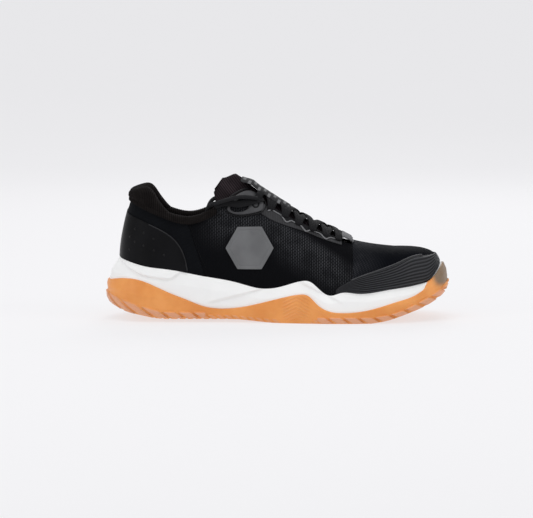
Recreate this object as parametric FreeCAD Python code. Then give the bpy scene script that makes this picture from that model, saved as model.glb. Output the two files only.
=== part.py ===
import FreeCAD, Part
import math
import os

Vector = FreeCAD.Vector
os.makedirs("parts", exist_ok=True)

# Right-foot court shoe. Millimetres, +X to the toe, +Y to the inner (medial) side, +Z up.
# The origin is on the ground, at the middle of the shoe's box.

# ---- driving dimensions ----
shoe_length = 300.0         # reference length: places along the shoe are percent of it
plan_width = 100.0          # reference width: plan tables are percent of it
profile_height = 100.0      # reference height: profile tables are percent of it

outsole_thickness = 3.6
outsole_wall = 2.6          # rubber that wraps up the sole's side
tread_depth = 1.6
midsole_flare = 6.5         # sole wall outside the upper, at the widest level
heel_flare = 5.0            # extra flare behind the heel
sidewall_overlap = 1.2      # how far the midsole lip stands outside the upper
toe_wrap_step = 1.8         # extra thickness of the rubber over the toe
board_thickness = 1.4
insole_foam_thickness = 3.4
insole_cloth_thickness = 0.7
mesh_thickness = 1.2
lining_thickness = 0.8
film_thickness = 0.6
eyestay_thickness = 0.8
trim_thickness = 0.7
plate_thickness = 1.4
emblem_thickness = 0.6
emblem_across = 42.0
guard_thickness = 1.1
counter_thickness = 1.6
puff_thickness = 0.7
front_lining_thickness = 1.6
collar_foam_thickness = 6.0
collar_foam_depth = 26.0
collar_band_height = 10.0
collar_band_thickness = 0.9
heel_pad_thickness = 3.2
heel_pad_half_width = 17.0
tongue_shell_thickness = 1.0
tongue_foam_thickness = 4.2
label_thickness = 1.2
label_half_width = 10.0
lace_diameter = 2.6         # the flat lace drawn together, along its laced part
lace_end_diameter = 3.6
aglet_length = 20.0
aglet_diameter = 4.4
throat_patch_thickness = 0.8
loop_thickness = 1.0

# ---- clearances ----
layer_gap = 0.06            # between layers that are stitched or glued
sole_fit = 0.10             # between the upper and the midsole's hollow
insole_gap = 1.3            # loose insole inside the lining
tongue_gap = 0.5            # tongue under the upper's lining
panel_gap = 0.12            # between panels that meet edge to edge
folded_gap = 0.3            # where a layer wraps over an edge or a bend
lace_gap = 1.0              # between the laces' turns and the loops' webbing
padding_gap = 0.8           # between the tongue's shell and its foam
overlay_room = 1.5          # the toe's rubber clears the upper and the toe guard by this
lip_clearance = 0.5         # overlays start this far above the midsole's lip

# ---- shape tables ----
# Outline of the upper where it stands on the sole: girth place, forward place, side place.
# The girth place runs along the side, from the heel's middle to the toe's middle.
heel_centre = -34.3
toe_centre = 34.7
heel_end = heel_centre - 17.7
toe_end = toe_centre + 20.0
outer_outline = [
    (heel_end, -46.0, 0.0), (-47.6, -45.1, 13.3), (-43.2, -42.4, 24.2), (-38.7, -38.6, 30.8),
    (heel_centre, -34.3, 33.5), (-26.0, -26.0, 34.2), (-16.7, -16.7, 34.6), (-6.7, -6.7, 37.2),
    (3.3, 3.3, 42.4), (13.3, 13.3, 46.4), (20.0, 20.0, 47.4), (27.0, 27.0, 46.0),
    (toe_centre, 34.7, 41.0), (39.7, 39.3, 34.8), (44.7, 43.6, 25.6), (49.7, 46.8, 12.8),
    (toe_end, 48.0, -2.5)]
inner_outline = [
    (heel_end, -46.0, 0.0), (-47.6, -45.1, 13.2), (-43.2, -42.4, 24.0), (-38.7, -38.6, 30.4),
    (heel_centre, -34.3, 33.0), (-26.0, -26.0, 33.2), (-16.7, -16.7, 31.8), (-6.7, -6.7, 31.8),
    (3.3, 3.3, 35.2), (13.3, 13.3, 40.2), (20.0, 20.0, 42.8), (27.0, 27.0, 43.5),
    (toe_centre, 34.7, 41.4), (39.7, 39.5, 37.2), (44.7, 44.0, 30.0), (49.7, 47.0, 17.6),
    (toe_end, 48.0, 2.5)]
# Heights along the shoe.
floor_line = [(-46, 33), (-34, 31), (-17, 24.5), (0, 19), (17, 15.5), (27, 16), (35, 19), (42, 24), (48, 30)]
ridge_line = [(-34.3, 165), (-27, 152), (-20, 138), (-13.3, 124), (-6.7, 111), (0, 98.5), (6.7, 87),
              (13.3, 77.5), (20, 69), (25, 64.4), (30, 61.4), (34.7, 59.8)]
ridge_side = [(-34.3, 0), (-16.7, 1), (0, 2), (20, 2), (34.7, 1)]
roundness = [(-52, 2.6), (-34.3, 2.6), (-13, 2.3), (0, 2.1), (13, 2.2), (23, 2.5), (34.7, 3.0), (54.7, 4.2)]
collar_line = [(-52, 110), (-47, 109.5), (-42, 106), (-38, 101.5), (-34.3, 97), (-29, 91.2), (-25.5, 89.8),
               (-21.5, 92.6), (-18, 97.6), (-14.5, 102.6), (-11.5, 106), (-8.5, 108.2)]
lip_line = [(-46, 54), (-42, 50.5), (-38, 47.6), (-31, 45), (-21.7, 39.6), (-12, 34.4), (-4, 29), (2, 31.7),
            (7.4, 36.3), (9.5, 35.8), (13.6, 25.8), (15.6, 23.8), (18.3, 26.0), (23, 25.6), (32, 28.2),
            (42, 32.6), (46, 37), (48, 41)]
band_line = [(-49.5, 32.5), (-47, 35.0), (-44, 36.0), (-40, 34.4), (-35.7, 29), (-31, 22), (-26.3, 16),
             (-21.7, 11.5), (-15.6, 9.7), (-9, 12), (2, 20.3), (6.7, 22), (9, 20.3), (11.5, 13), (14, 8.6),
             (18.5, 6.4), (25.5, 8), (30, 10.6), (35, 15), (39.7, 19.4), (44, 28), (47, 42), (49.5, 50)]
ground_line = [(-49.6, 30), (-47.5, 16), (-45, 9.0), (-42.5, 5.0), (-39, 2.2), (-35, 0.5), (-32, 0.0),
               (27, 0.0), (32.5, 2.6), (37.5, 6.0), (42, 10.6), (45, 14.6), (47.5, 20), (49.9, 30)]


def forward(percent):
    return percent * shoe_length / 100


def across(percent):
    return percent * plan_width / 100


def upward(percent):
    return percent * profile_height / 100


def smooth(places, values):
    # Natural cubic curve through the points, straight beyond its ends.
    count = len(places)
    step = [places[i + 1] - places[i] for i in range(count - 1)]
    slope = [(values[i + 1] - values[i]) / step[i] for i in range(count - 1)]
    diagonal = [1.0] * count
    right = [0.0] * count
    bend = [0.0] * count
    upper = [0.0] * count
    for i in range(1, count - 1):
        low = step[i - 1]
        diagonal[i] = 2 * (step[i - 1] + step[i]) - low * upper[i - 1]
        upper[i] = step[i] / diagonal[i]
        right[i] = (6 * (slope[i] - slope[i - 1]) - low * right[i - 1]) / diagonal[i]
    for i in range(count - 2, 0, -1):
        bend[i] = right[i] - upper[i] * bend[i + 1]

    def value(place):
        if place <= places[0]:
            lead = slope[0] - step[0] * bend[1] / 6
            return values[0] + lead * (place - places[0])
        if place >= places[-1]:
            lead = slope[-1] + step[-1] * bend[-2] / 6
            return values[-1] + lead * (place - places[-1])
        k = max(i for i in range(count - 1) if places[i] <= place)
        after = (place - places[k]) / step[k]
        before = 1 - after
        curve = (before ** 3 - before) * bend[k] + (after ** 3 - after) * bend[k + 1]
        return before * values[k] + after * values[k + 1] + curve * step[k] ** 2 / 6
    return value


def table(rows, scale):
    return smooth([forward(row[0]) for row in rows], [scale(row[1]) for row in rows])


heel_x = forward(heel_centre)
toe_x = forward(toe_centre)
girth_start = forward(heel_end)
girth_finish = forward(toe_end)
sides = {}
for side_name, rows in (("outer", outer_outline), ("inner", inner_outline)):
    places = [forward(row[0]) for row in rows]
    sign = -1 if side_name == "outer" else 1
    sides[side_name] = (smooth(places, [forward(row[1]) for row in rows]),
                        smooth(places, [sign * across(row[2]) for row in rows]))
floor_height = table(floor_line, upward)
ridge_height = table(ridge_line, upward)
ridge_place = table(ridge_side, across)
fullness = table(roundness, float)
collar_height = table(collar_line, upward)
lip_height = table(lip_line, upward)
band_height = table(band_line, upward)
ground_height = table(ground_line, upward)
heel_lean_start = upward(50)
heel_lean_rise = upward(44)
heel_lean = forward(2.0)
eyestay_edge = 0.24         # half opening of the throat, as a share of the half girth
throat_x = forward(22)      # front end of the throat
collar_front = forward(-8.5)


def clamp(value, low, high):
    return max(low, min(high, value))


def surface(girth, share):
    # Point on the upper's outside. The share is 1 on the sole and 0 on the ridge, below 0 on the outer side.
    side = sides["outer" if share < 0 else "inner"]
    base_x, base_y = side[0](girth), side[1](girth)
    centre_x = clamp(girth, heel_x, toe_x)
    centre_y = ridge_place(centre_x)
    bottom = floor_height(clamp(base_x, forward(-46), forward(48)))
    top = ridge_height(centre_x)
    turn = (1 - abs(share)) * math.pi / 2
    power = fullness(girth)
    scale = (abs(math.cos(turn)) ** power + abs(math.sin(turn)) ** power) ** (-1 / power)
    reach, rise = scale * math.cos(turn), scale * math.sin(turn)
    x = centre_x + reach * (base_x - centre_x)
    y = centre_y + reach * (base_y - centre_y)
    z = bottom + rise * (top - bottom)
    behind = clamp((heel_x - girth) / (heel_x - girth_start), 0, 1)
    lean = max(0, (z - heel_lean_start) / heel_lean_rise) ** 2
    return Vector(x + heel_lean * lean * behind ** 2, y, z)


def share_at(girth, height):
    # Share where the upper's outside reaches a height.
    base_x = sides["outer"][0](girth)
    bottom = floor_height(clamp(base_x, forward(-46), forward(48)))
    top = ridge_height(clamp(girth, heel_x, toe_x))
    power = fullness(girth)
    rise = clamp((height - bottom) / (top - bottom), 0, 0.999)
    reach = (1 - rise ** power) ** (1 / power)
    return 1 - math.atan2(rise, reach) / (math.pi / 2)


def offset_surface(girth, share, distance):
    small = 0.4
    tiny = 0.004 if share > 0 else -0.004
    along = surface(girth + small, share) - surface(girth - small, share)
    down = surface(girth, share + tiny) - surface(girth, share - tiny)
    normal = along.cross(down)
    normal.normalize()
    if share < 0:
        normal = normal * -1
    return surface(girth, share) + normal * distance


def dome(ahead, share, distance):
    # The toe dome by place: ahead of its centre (0 to 1) and across (-1 to 1).
    reach = math.hypot(ahead, share)
    angle = math.atan2(ahead, abs(share))
    girth = toe_x + (girth_finish - toe_x) * angle / (math.pi / 2)
    reach = max(reach, 0.02)
    return offset_surface(girth, math.copysign(reach, share), distance)


def girth_point(turned, share, distance):
    # Places around the heel: negative on the outer side, zero at the heel's middle.
    side = -1 if turned < 0 else 1
    girth = girth_start + max(abs(turned), 0.05)
    return offset_surface(girth, side * share, distance)


def toe_point(turned, share, distance):
    # Places around the toe: negative on the outer side, zero at the toe's middle.
    side = -1 if turned < 0 else 1
    girth = girth_finish - max(abs(turned), 0.05)
    return offset_surface(girth, side * share, distance)


def closed_solid(faces):
    shell = Part.makeShell(faces)
    shell.sewShape()
    solid = Part.Solid(shell)
    if solid.Volume < 0:
        solid.reverse()
    return solid


def patch_solid(outside, inside):
    # Solid between two grids of points that match.
    top = Part.BSplineSurface()
    top.interpolate(outside)
    low = Part.BSplineSurface()
    low.interpolate(inside)
    faces = [top.toShape(), low.toShape()]
    u0, u1, v0, v1 = top.bounds()
    a0, a1, b0, b1 = low.bounds()
    pairs = [(top.uIso(u0), low.uIso(a0)), (top.uIso(u1), low.uIso(a1)),
             (top.vIso(v0), low.vIso(b0)), (top.vIso(v1), low.vIso(b1))]
    for first, second in pairs:
        faces.append(Part.makeRuledSurface(first.toShape(), second.toShape()))
    return closed_solid(faces)


def layer(point, place, low, high, columns, rows):
    # Layer of cloth: place(a, b) gives girth and share, low and high are distances from the surface.
    grids = []
    for distance in (high, low):
        grid = []
        for i in range(columns + 1):
            column = []
            for j in range(rows + 1):
                girth, share = place(i / columns, j / rows)
                column.append(point(girth, share, distance))
            grid.append(column)
        grids.append(grid)
    return patch_solid(grids[0], grids[1])


def rail_solid(rails):
    # Solid with a rail along each of its edges, closed at both ends.
    edges = []
    for rail in rails:
        curve = Part.BSplineCurve()
        curve.interpolate(rail)
        edges.append(curve.toShape())
    faces = []
    count = len(rails)
    for i in range(count):
        faces.append(Part.makeRuledSurface(edges[i], edges[(i + 1) % count]))
    for end in (0, -1):
        corners = [rail[end] for rail in rails]
        if count == 4:
            first = Part.makeLine(corners[0], corners[1])
            second = Part.makeLine(corners[3], corners[2])
            faces.append(Part.makeRuledSurface(first, second))
        else:
            faces.append(Part.Face(Part.makePolygon(corners + [corners[0]])))
    return closed_solid(faces)


def between(low, high, part):
    return low + (high - low) * part


def save(name, shape):
    shape = shape.translated(to_origin)
    if not shape.isValid() or shape.Volume <= 0:
        print("PROBLEM", name, shape.isValid(), shape.Volume)
    shape.exportStep("parts/" + name + ".step")
    print(name, round(shape.Volume), len(shape.Solids))


# ---- sole unit ----
def outline_point(girth, side, distance):
    # Point of the upper's outline on the sole, moved outward.
    line_x, line_y = sides[side]
    small = 0.5
    along_x = line_x(girth + small) - line_x(girth - small)
    along_y = line_y(girth + small) - line_y(girth - small)
    size = math.hypot(along_x, along_y)
    turn = 1 if side == "outer" else -1
    return line_x(girth) + turn * along_y / size * distance, line_y(girth) - turn * along_x / size * distance


def outline_places(steps):
    # Girth places once around the outline, from the heel's middle along the outer side and back.
    length = girth_finish - girth_start
    places = [("outer", girth_start + length * i / steps) for i in range(steps)]
    places += [("inner", girth_finish - length * i / steps) for i in range(steps)]
    return places


def sole_grow(level, x):
    # How far the sole's wall stands outside the upper, by level from the ground (0) to the lip (1).
    heel = clamp((forward(-34) - x) / forward(12), 0, 1)
    bulge = midsole_flare + heel_flare * heel
    step = sidewall_overlap + toe_wrap_step * clamp((x - forward(39)) / forward(7), 0, 1)
    shape = [(0, 0.45), (0.18, 0.85), (0.45, 1.0), (0.75, 0.72), (1.0, 0)]
    for low, high in zip(shape, shape[1:]):
        if level <= high[0]:
            part = (level - low[0]) / (high[0] - low[0])
            return step + (bulge - step) * between(low[1], high[1], part)
    return step


def sole_blank(distance):
    # Solid with the sole's side wall, reaching past the ground and the lip.
    levels = [0, 0.18, 0.45, 0.75, 1.0]
    rings = [[] for _ in range(len(levels) + 2)]
    for side, girth in outline_places(26):
        edge_x = outline_point(girth, side, 0)[0]
        ground, lip = ground_height(edge_x), lip_height(edge_x)
        for ring, level in zip(rings[1:], levels):
            x, y = outline_point(girth, side, sole_grow(level, edge_x) + distance)
            ring.append(Vector(x, y, between(ground, lip, level)))
        first, last = rings[1][-1], rings[-2][-1]
        rings[0].append(Vector(first.x, first.y, -upward(12)))
        rings[-1].append(Vector(last.x, last.y, upward(80)))
    wires = []
    for ring in rings:
        curve = Part.BSplineCurve()
        curve.interpolate(ring, PeriodicFlag=True)
        wires.append(Part.Wire(curve.toShape()))
    return Part.makeLoft(wires, True, False)


def under(line, shift):
    # Block below a height line, across the whole shoe.
    reach = forward(58)
    steps = 70
    half = across(90)
    points = []
    for i in range(steps + 1):
        x = between(-reach, reach, i / steps)
        points.append(Vector(x, -half, line(x) + shift))
    curve = Part.BSplineCurve()
    curve.interpolate(points)
    deep = -upward(40)
    first, last = points[0], points[-1]
    legs = Part.makePolygon([last, Vector(last.x, -half, deep), Vector(first.x, -half, deep), first])
    return Part.Face(Part.Wire([curve.toShape()] + legs.Edges)).extrude(Vector(0, 2 * half, 0))


def outline_prism(distance):
    points = []
    for side, girth in outline_places(24):
        x, y = outline_point(girth, side, distance)
        points.append(Vector(x, y, -upward(10)))
    curve = Part.BSplineCurve()
    curve.interpolate(points, PeriodicFlag=True)
    return Part.Face(Part.Wire(curve.toShape())).extrude(Vector(0, 0, upward(110)))


def flat_ground(x):
    # The ground line never dips below the ground.
    return max(0, ground_height(x))


def outsole_zone(blank, gap):
    # Rubber cup: a bottom plate with walls that wrap up the side.
    core = sole_blank(-outsole_wall - gap).cut(under(flat_ground, outsole_thickness + gap))
    return blank.common(under(band_height, gap)).cut(core)


def tread_grooves():
    # Grooves across the flat of the heel and the forefoot.
    grooves = []
    width = 2.0
    for start, end, pitch in ((forward(-36), forward(-14), 7.0), (forward(4), forward(26), 6.0)):
        for i in range(int((end - start) / pitch)):
            x = start + pitch * i
            groove = Part.makeBox(width, across(160), 2 * tread_depth, Vector(x, -across(80), -tread_depth))
            grooves.append(groove)
    return grooves


blank = sole_blank(0)
cavity = outline_prism(sole_fit).cut(under(floor_height, 0))
below_ground = Part.makeBox(forward(120), across(200), upward(40))
below_ground.translate(Vector(-forward(60), -across(100), -upward(40)))
outsole = outsole_zone(blank, 0).cut(under(ground_height, 0)).cut(below_ground)
outsole = outsole.cut(outline_prism(overlay_room).cut(under(floor_height, 0)))
outsole = outsole.cut(tread_grooves())
midsole = blank.common(under(lip_height, 0)).cut(under(flat_ground, outsole_thickness + layer_gap))
midsole = midsole.cut(outsole_zone(sole_blank(0.5), layer_gap)).cut(cavity)


def sole_middle():
    # Middle of the sole's widest outline, which is the shoe's whole box seen from above.
    points = []
    for side, girth in outline_places(160):
        x = outline_point(girth, side, 0)[0]
        points.append(outline_point(girth, side, sole_grow(0.45, x)))
    xs, ys = [point[0] for point in points], [point[1] for point in points]
    return Vector((min(xs) + max(xs)) / 2, (min(ys) + max(ys)) / 2, 0)


to_origin = sole_middle() * -1
print("shift to the origin", to_origin)
save("outsole", outsole)
save("midsole", midsole)


def footbed_layer(distance, low, high):
    # Layer on the sole's floor, inside the upper.
    return outline_prism(distance).common(under(floor_height, high)).cut(under(floor_height, low))


board_inset = -(mesh_thickness + 2 * layer_gap)
board_top = layer_gap + board_thickness
save("strobel_board", footbed_layer(board_inset, layer_gap, board_top))
lining_outside = -(mesh_thickness + counter_thickness + 2 * layer_gap)
lining_inside = lining_outside - lining_thickness
insole_inset = lining_inside - insole_gap
foam_bottom = board_top + 0.3
foam_top = foam_bottom + insole_foam_thickness
save("insole_foam", footbed_layer(insole_inset, foam_bottom, foam_top))
save("insole_top_cloth", footbed_layer(insole_inset + 0.2, foam_top + layer_gap,
                                       foam_top + layer_gap + insole_cloth_thickness))


# ---- upper: mesh panels ----
upper_base = 1.0            # share where the upper meets the floor
seam_top, seam_bottom = forward(-26.3), forward(-19.5)


def collar_share(girth):
    return share_at(girth, collar_height(girth))


def rim_share(girth):
    # Upper edge of the panels: the collar behind, the throat's edge ahead.
    if girth < collar_front:
        return max(collar_share(girth), eyestay_edge)
    ahead = clamp((girth - collar_front) / forward(4), 0, 1)
    return between(max(collar_share(collar_front), eyestay_edge), eyestay_edge, ahead)


def rear_panel(side):
    def place(a, b):
        seam = between(seam_bottom, seam_top, b) - panel_gap
        girth = between(girth_start + panel_gap / 2, seam, a)
        return girth, side * between(upper_base, collar_share(girth), b)
    return layer(offset_surface, place, -mesh_thickness, 0, 26, 8)


def front_place(side):
    def place(a, b):
        seam = between(seam_bottom, seam_top, b)
        girth = between(seam, throat_x - panel_gap, a)
        return girth, side * between(upper_base, rim_share(girth), b)
    return place


def toe_panel(low, high, start, base):
    # Toe part over the dome, from the throat to the toe's edge, and down to the base share.
    half_rows = 10
    straight = 7
    curved = 9
    grids = []
    for distance in (high, low):
        grid = []
        for i in range(straight):
            girth = between(start, toe_x, i / straight)
            row = []
            for j in range(-half_rows, half_rows + 1):
                share = clamp(abs(j) / half_rows * base(girth), 0.012, 1)
                side = -1 if j < 0 else 1
                row.append(offset_surface(girth, side * share, distance))
            row[half_rows].y = ridge_place(girth)
            grid.append(row)
        for i in range(curved + 1):
            ahead = i / curved
            row = []
            for j in range(-half_rows, half_rows + 1):
                share = j / half_rows
                reach = base(toe_x)
                row.append(dome(ahead * reach * math.sqrt(1 - share ** 2 / 2),
                                share * reach * math.sqrt(1 - ahead ** 2 / 2), distance))
            grid.append(row)
        grids.append(grid)
    return patch_solid(grids[0], grids[1])


for name, side in (("lateral", -1), ("medial", 1)):
    save("rear_mesh_" + name, rear_panel(side))
    save("quarter_mesh_" + name, layer(offset_surface, front_place(side), -mesh_thickness, 0, 26, 8))
save("toe_mesh", toe_panel(-mesh_thickness, 0, throat_x, lambda girth: upper_base))

# ---- upper: overlays on the mesh ----
overlay_low = layer_gap
film_high = overlay_low + film_thickness
film_top = [(-52, 97), (-45, 92), (-38, 86), (-33, 79), (-29.5, 71), (-27.4, 61)]
film_top_height = table(film_top, upward)


def overlay_base_share(girth):
    # Overlays start just above the midsole's lip.
    base_x = clamp(sides["outer"][0](girth), forward(-46), forward(48))
    return share_at(girth, lip_height(base_x) + lip_clearance)


def inner_base(girth):
    # Inside layers start just above the board.
    base_x = clamp(sides["outer"][0](girth), forward(-46), forward(48))
    return share_at(girth, floor_height(base_x) + board_top + folded_gap)


def film_place(a, b):
    # The heel film runs from side to side around the heel.
    turned = 2 * a - 1
    length = between(forward(-25.6), forward(-27.4), b) - girth_start
    girth = girth_start + abs(turned) * length
    top = share_at(girth, film_top_height(girth))
    return math.copysign(girth - girth_start, turned), between(overlay_base_share(girth), top, b)


def guard_place(a, b):
    # The toe guard runs around the toe.
    turned = 2 * a - 1
    start = forward(17) if turned < 0 else forward(23)
    length = girth_finish - start
    girth = girth_finish - abs(turned) * length
    base = overlay_base_share(girth)
    top = share_at(girth, guard_height(girth))
    return math.copysign(girth_finish - girth, turned), between(base, min(top, base - 0.03), b)


guard_height = table([(16, 27), (19, 33), (23, 38.5), (28, 43.5), (34.7, 50), (40, 54.5), (47, 56), (54.7, 56)],
                     upward)
save("heel_film", layer(girth_point, film_place, overlay_low, film_high, 36, 8))
save("toe_guard", layer(toe_point, guard_place, overlay_low, overlay_low + guard_thickness, 40, 6))

eyestay_front = forward(18.5)
eyestay_back = forward(-3.2)
trim_half = 0.022


def strip(side, back, front, top, bottom):
    # Strip along the throat, between two shares that may change along it.
    def place(a, b):
        girth = between(back, front, a)
        return girth, side * between(bottom(girth), top(girth), b)
    return place


def eyestay_low(girth):
    part = (girth - eyestay_back) / (eyestay_front - eyestay_back)
    return between(0.42, 0.46, part)


def plate_low(girth):
    part = (girth - plate_back) / (plate_front - plate_back)
    return 0.34 + 0.10 * math.sin(math.pi * clamp(part, 0.12, 0.88))


plate_back, plate_front = forward(-12.4), forward(-4.0)
stay_edge = eyestay_edge + 0.008
stay_high = overlay_low + eyestay_thickness
trim_low = stay_high + layer_gap
emblem_x, emblem_z = forward(-7.9), upward(64)
for name, side in (("lateral", -1), ("medial", 1)):
    stay = strip(side, eyestay_back, eyestay_front, lambda girth: stay_edge, eyestay_low)
    save("eyestay_" + name, layer(offset_surface, stay, overlay_low, stay_high, 24, 4))
    trim = strip(side, eyestay_back, eyestay_front, lambda girth: stay_edge,
                 lambda girth: stay_edge + 2 * trim_half)
    save("lace_loops_" + name, layer(offset_surface, trim, trim_low, trim_low + trim_thickness, 24, 3))
    plate = strip(side, plate_back, plate_front, lambda girth: max(rim_share(girth), stay_edge), plate_low)
    plate_high = overlay_low + plate_thickness
    save("top_eyelet_plate_" + name, layer(offset_surface, plate, overlay_low, plate_high, 14, 5))

    def emblem_place(a, b):
        girth = emblem_x + emblem_across * 0.6 * (2 * a - 1)
        height = emblem_z + emblem_across * 0.6 * (2 * b - 1)
        return girth, side * share_at(girth, height)
    sheet = layer(offset_surface, emblem_place, overlay_low, overlay_low + emblem_thickness, 10, 10)
    corners = []
    for i in range(7):
        angle = math.radians(60 * i)
        corners.append(Vector(emblem_x + emblem_across / 2 * math.cos(angle), 0,
                              emblem_z + emblem_across / 2 * math.sin(angle)))
    badge = Part.Face(Part.makePolygon(corners)).extrude(Vector(0, side * across(80), 0))
    save("side_emblem_" + name, sheet.common(badge))

# ---- upper: inside layers ----
foam_start = upward(8)


def foam_share(girth, height):
    # How fully the collar foam has built up, 0 to 1, by height and by distance from its front ends.
    rise = clamp((height - collar_height(girth) + collar_foam_depth) / foam_start, 0, 1)
    ahead = clamp((foam_front - girth) / forward(6), 0.15, 1)
    return rise * rise * (3 - 2 * rise) * ahead


foam_front = forward(-17.5)


def foam_inside(girth, share):
    # Distance of the foam's inner face from the surface.
    height = surface(girth, share).z
    extra = collar_foam_thickness - counter_thickness
    return lining_outside + layer_gap - extra * foam_share(girth, height)


def girth_layer(place, low, high, columns, rows):
    # Layer around the heel whose faces follow the foam.
    grids = []
    for face in (high, low):
        grid = []
        for i in range(columns + 1):
            column = []
            for j in range(rows + 1):
                turned, share = place(i / columns, j / rows)
                girth = girth_start + abs(turned)
                column.append(girth_point(turned, share, face(girth, share)))
            grid.append(column)
        grids.append(grid)
    return patch_solid(grids[0], grids[1])


def around_heel(front, low, high):
    def place(a, b):
        turned = 2 * a - 1
        girth = between(girth_start, front, abs(turned))
        return math.copysign(girth - girth_start, turned), between(low(girth), high(girth), b)
    return place


counter_top = upward(76)
under_mesh = -(mesh_thickness + layer_gap)
counter_place = around_heel(forward(-31), inner_base,
                            lambda girth: share_at(girth, counter_top - 2))
save("heel_counter", layer(girth_point, counter_place, under_mesh - counter_thickness, under_mesh, 24, 6))


def foam_bottom_share(girth):
    low = max(collar_height(girth) - collar_foam_depth, counter_top)
    return share_at(girth, min(low, collar_height(girth) - 12))


foam_place = around_heel(foam_front, foam_bottom_share, lambda girth: collar_share(girth) + 0.012)
save("collar_foam", girth_layer(foam_place, foam_inside, lambda girth, share: under_mesh, 40, 12))
lining_place = around_heel(foam_front, inner_base,
                           lambda girth: share_at(girth, collar_height(girth) - collar_band_height * 0.6 - 2))
save("heel_lining", girth_layer(lining_place,
                                lambda girth, share: foam_inside(girth, share) - folded_gap - lining_thickness,
                                lambda girth, share: foam_inside(girth, share) - folded_gap, 40, 20))
front_lining_inside = under_mesh - front_lining_thickness
for name, side in (("lateral", -1), ("medial", 1)):
    def quarter_lining_place(a, b):
        girth = between(foam_front + folded_gap, throat_x - panel_gap, a)
        return girth, side * between(inner_base(girth), rim_share(girth) + 0.01, b)
    lining = layer(offset_surface, quarter_lining_place, front_lining_inside, under_mesh, 22, 7)
    save("quarter_lining_" + name, lining)


def toe_lining_base(girth):
    # One share for the whole toe, above the board where the floor is lowest and highest.
    return min(inner_base(girth), inner_base(girth_finish))


puff_start = forward(37)
puff_high = under_mesh - folded_gap / 2
toe_lining_high = puff_high - puff_thickness - folded_gap
save("toe_lining", toe_panel(toe_lining_high - front_lining_thickness, toe_lining_high, throat_x,
                             toe_lining_base))


def puff_place(a, b):
    turned = 2 * a - 1
    length = girth_finish - puff_start
    return turned * length, between(inner_base(girth_finish - abs(turned) * length), 0.3, b)


save("toe_puff", layer(toe_point, puff_place, puff_high - puff_thickness, puff_high, 30, 8))


def around_edge(girth, share, inward, raised):
    # Point by the upper's edge: inward from the surface toward the shoe's middle, and raised.
    base = surface(girth, share)
    centre_x = clamp(girth, heel_x, toe_x)
    toward = Vector(centre_x - base.x, ridge_place(centre_x) - base.y, 0)
    toward.normalize()
    return base + toward * inward + Vector(0, 0, raised)


def collar_band():
    # Knit that wraps over the collar's edge: an outer leg, a top and a short inner leg.
    steps = 40
    rails = [[] for _ in range(8)]
    for i in range(steps + 1):
        turned = 2 * i / steps - 1
        girth = max(between(girth_start, foam_front, abs(turned)), girth_start + 0.05)
        side = -1 if turned < 0 else 1
        top = collar_share(girth)
        low = share_at(girth, collar_height(girth) - collar_band_height)
        foam = -foam_inside(girth, side * top) + layer_gap
        depth = foam + lining_thickness + layer_gap
        out = -folded_gap - collar_band_thickness
        leg = -collar_band_height * 0.6
        high = layer_gap
        corners = [(low, out, 0), (top, out, high + collar_band_thickness),
                   (top, depth + collar_band_thickness, high + collar_band_thickness),
                   (top, depth + collar_band_thickness, leg), (top, depth, leg), (top, depth, high),
                   (top, -folded_gap, high), (low, -folded_gap, 0)]
        for rail, (share, inward, raised) in zip(rails, corners):
            rail.append(around_edge(girth, side * share, inward, raised))
    return rail_solid(rails)


save("collar_band", collar_band())


def heel_pad():
    # Soft pad on the back of the heel, over the top of the collar.
    steps = 12
    rails = [[] for _ in range(4)]
    low_height, high_height = upward(97), upward(109)
    start = collar_band_thickness + 3 * folded_gap
    for i in range(steps + 1):
        turned = 2 * i / steps - 1
        side = -1 if turned < 0 else 1
        girth = girth_start + max(abs(turned) * heel_pad_half_width, 0.05)
        bulge = start + heel_pad_thickness * math.sqrt(max(1 - turned ** 2, 0.1))
        low, high = share_at(girth, low_height), share_at(girth, high_height)
        corners = [(low, start), (low, bulge), (high, bulge), (high, start)]
        for rail, (share, out) in zip(rails, corners):
            rail.append(around_edge(girth, side * share, -out, 0))
    return rail_solid(rails)


save("heel_tab", heel_pad())

# ---- tongue ----
tongue_back = forward(-14.7)
tongue_front = throat_x - 3.0
tongue_top = front_lining_inside - tongue_gap
tongue_side = 0.40


def ridge_layer(back, front, wide, low, high, columns):
    # Layer across the ridge, between two girths, to the same share on both sides.
    rows = 12
    grids = []
    for face in (high, low):
        grid = []
        for i in range(columns + 1):
            girth = between(back, front, i / columns)
            row = []
            for j in range(-rows // 2, rows // 2 + 1):
                share = wide(girth) * 2 * j / rows
                side = -1 if j < 0 else 1
                row.append(offset_surface(girth, side * max(abs(share), 0.02), face(girth, share)))
            row[rows // 2].y = ridge_place(girth)
            grid.append(row)
        grids.append(grid)
    return patch_solid(grids[0], grids[1])


def tongue_bulge(girth, share):
    # The padded top of the tongue stands proud of the throat.
    part = clamp((tongue_bulge_start - girth) / forward(5), 0, 1)
    return tongue_bulge_height * part * part * (3 - 2 * part) * max(0, 1 - (share / eyestay_edge) ** 2) ** 2


def tongue_layer(low, high, inset):
    # The bulge lifts the shell and thickens the foam; the lining stays flat.
    side = tongue_side - inset / forward(20)
    return ridge_layer(tongue_back + inset, tongue_front, lambda girth: side, low, high, 20)


tongue_bulge_start = forward(-6.0)
tongue_bulge_height = 7.0
tongue_foam_top = tongue_top - tongue_shell_thickness - padding_gap
tongue_lining_top = tongue_foam_top - tongue_foam_thickness - folded_gap
save("tongue_shell", tongue_layer(
    lambda girth, share: tongue_top - tongue_shell_thickness + tongue_bulge(girth, share),
    lambda girth, share: tongue_top + tongue_bulge(girth, share), 0))
save("tongue_foam", tongue_layer(
    lambda girth, share: tongue_foam_top - tongue_foam_thickness,
    lambda girth, share: tongue_foam_top + tongue_bulge(girth, share), 1.5))
save("tongue_lining", tongue_layer(
    lambda girth, share: tongue_lining_top - lining_thickness,
    lambda girth, share: tongue_lining_top, 0))


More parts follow.
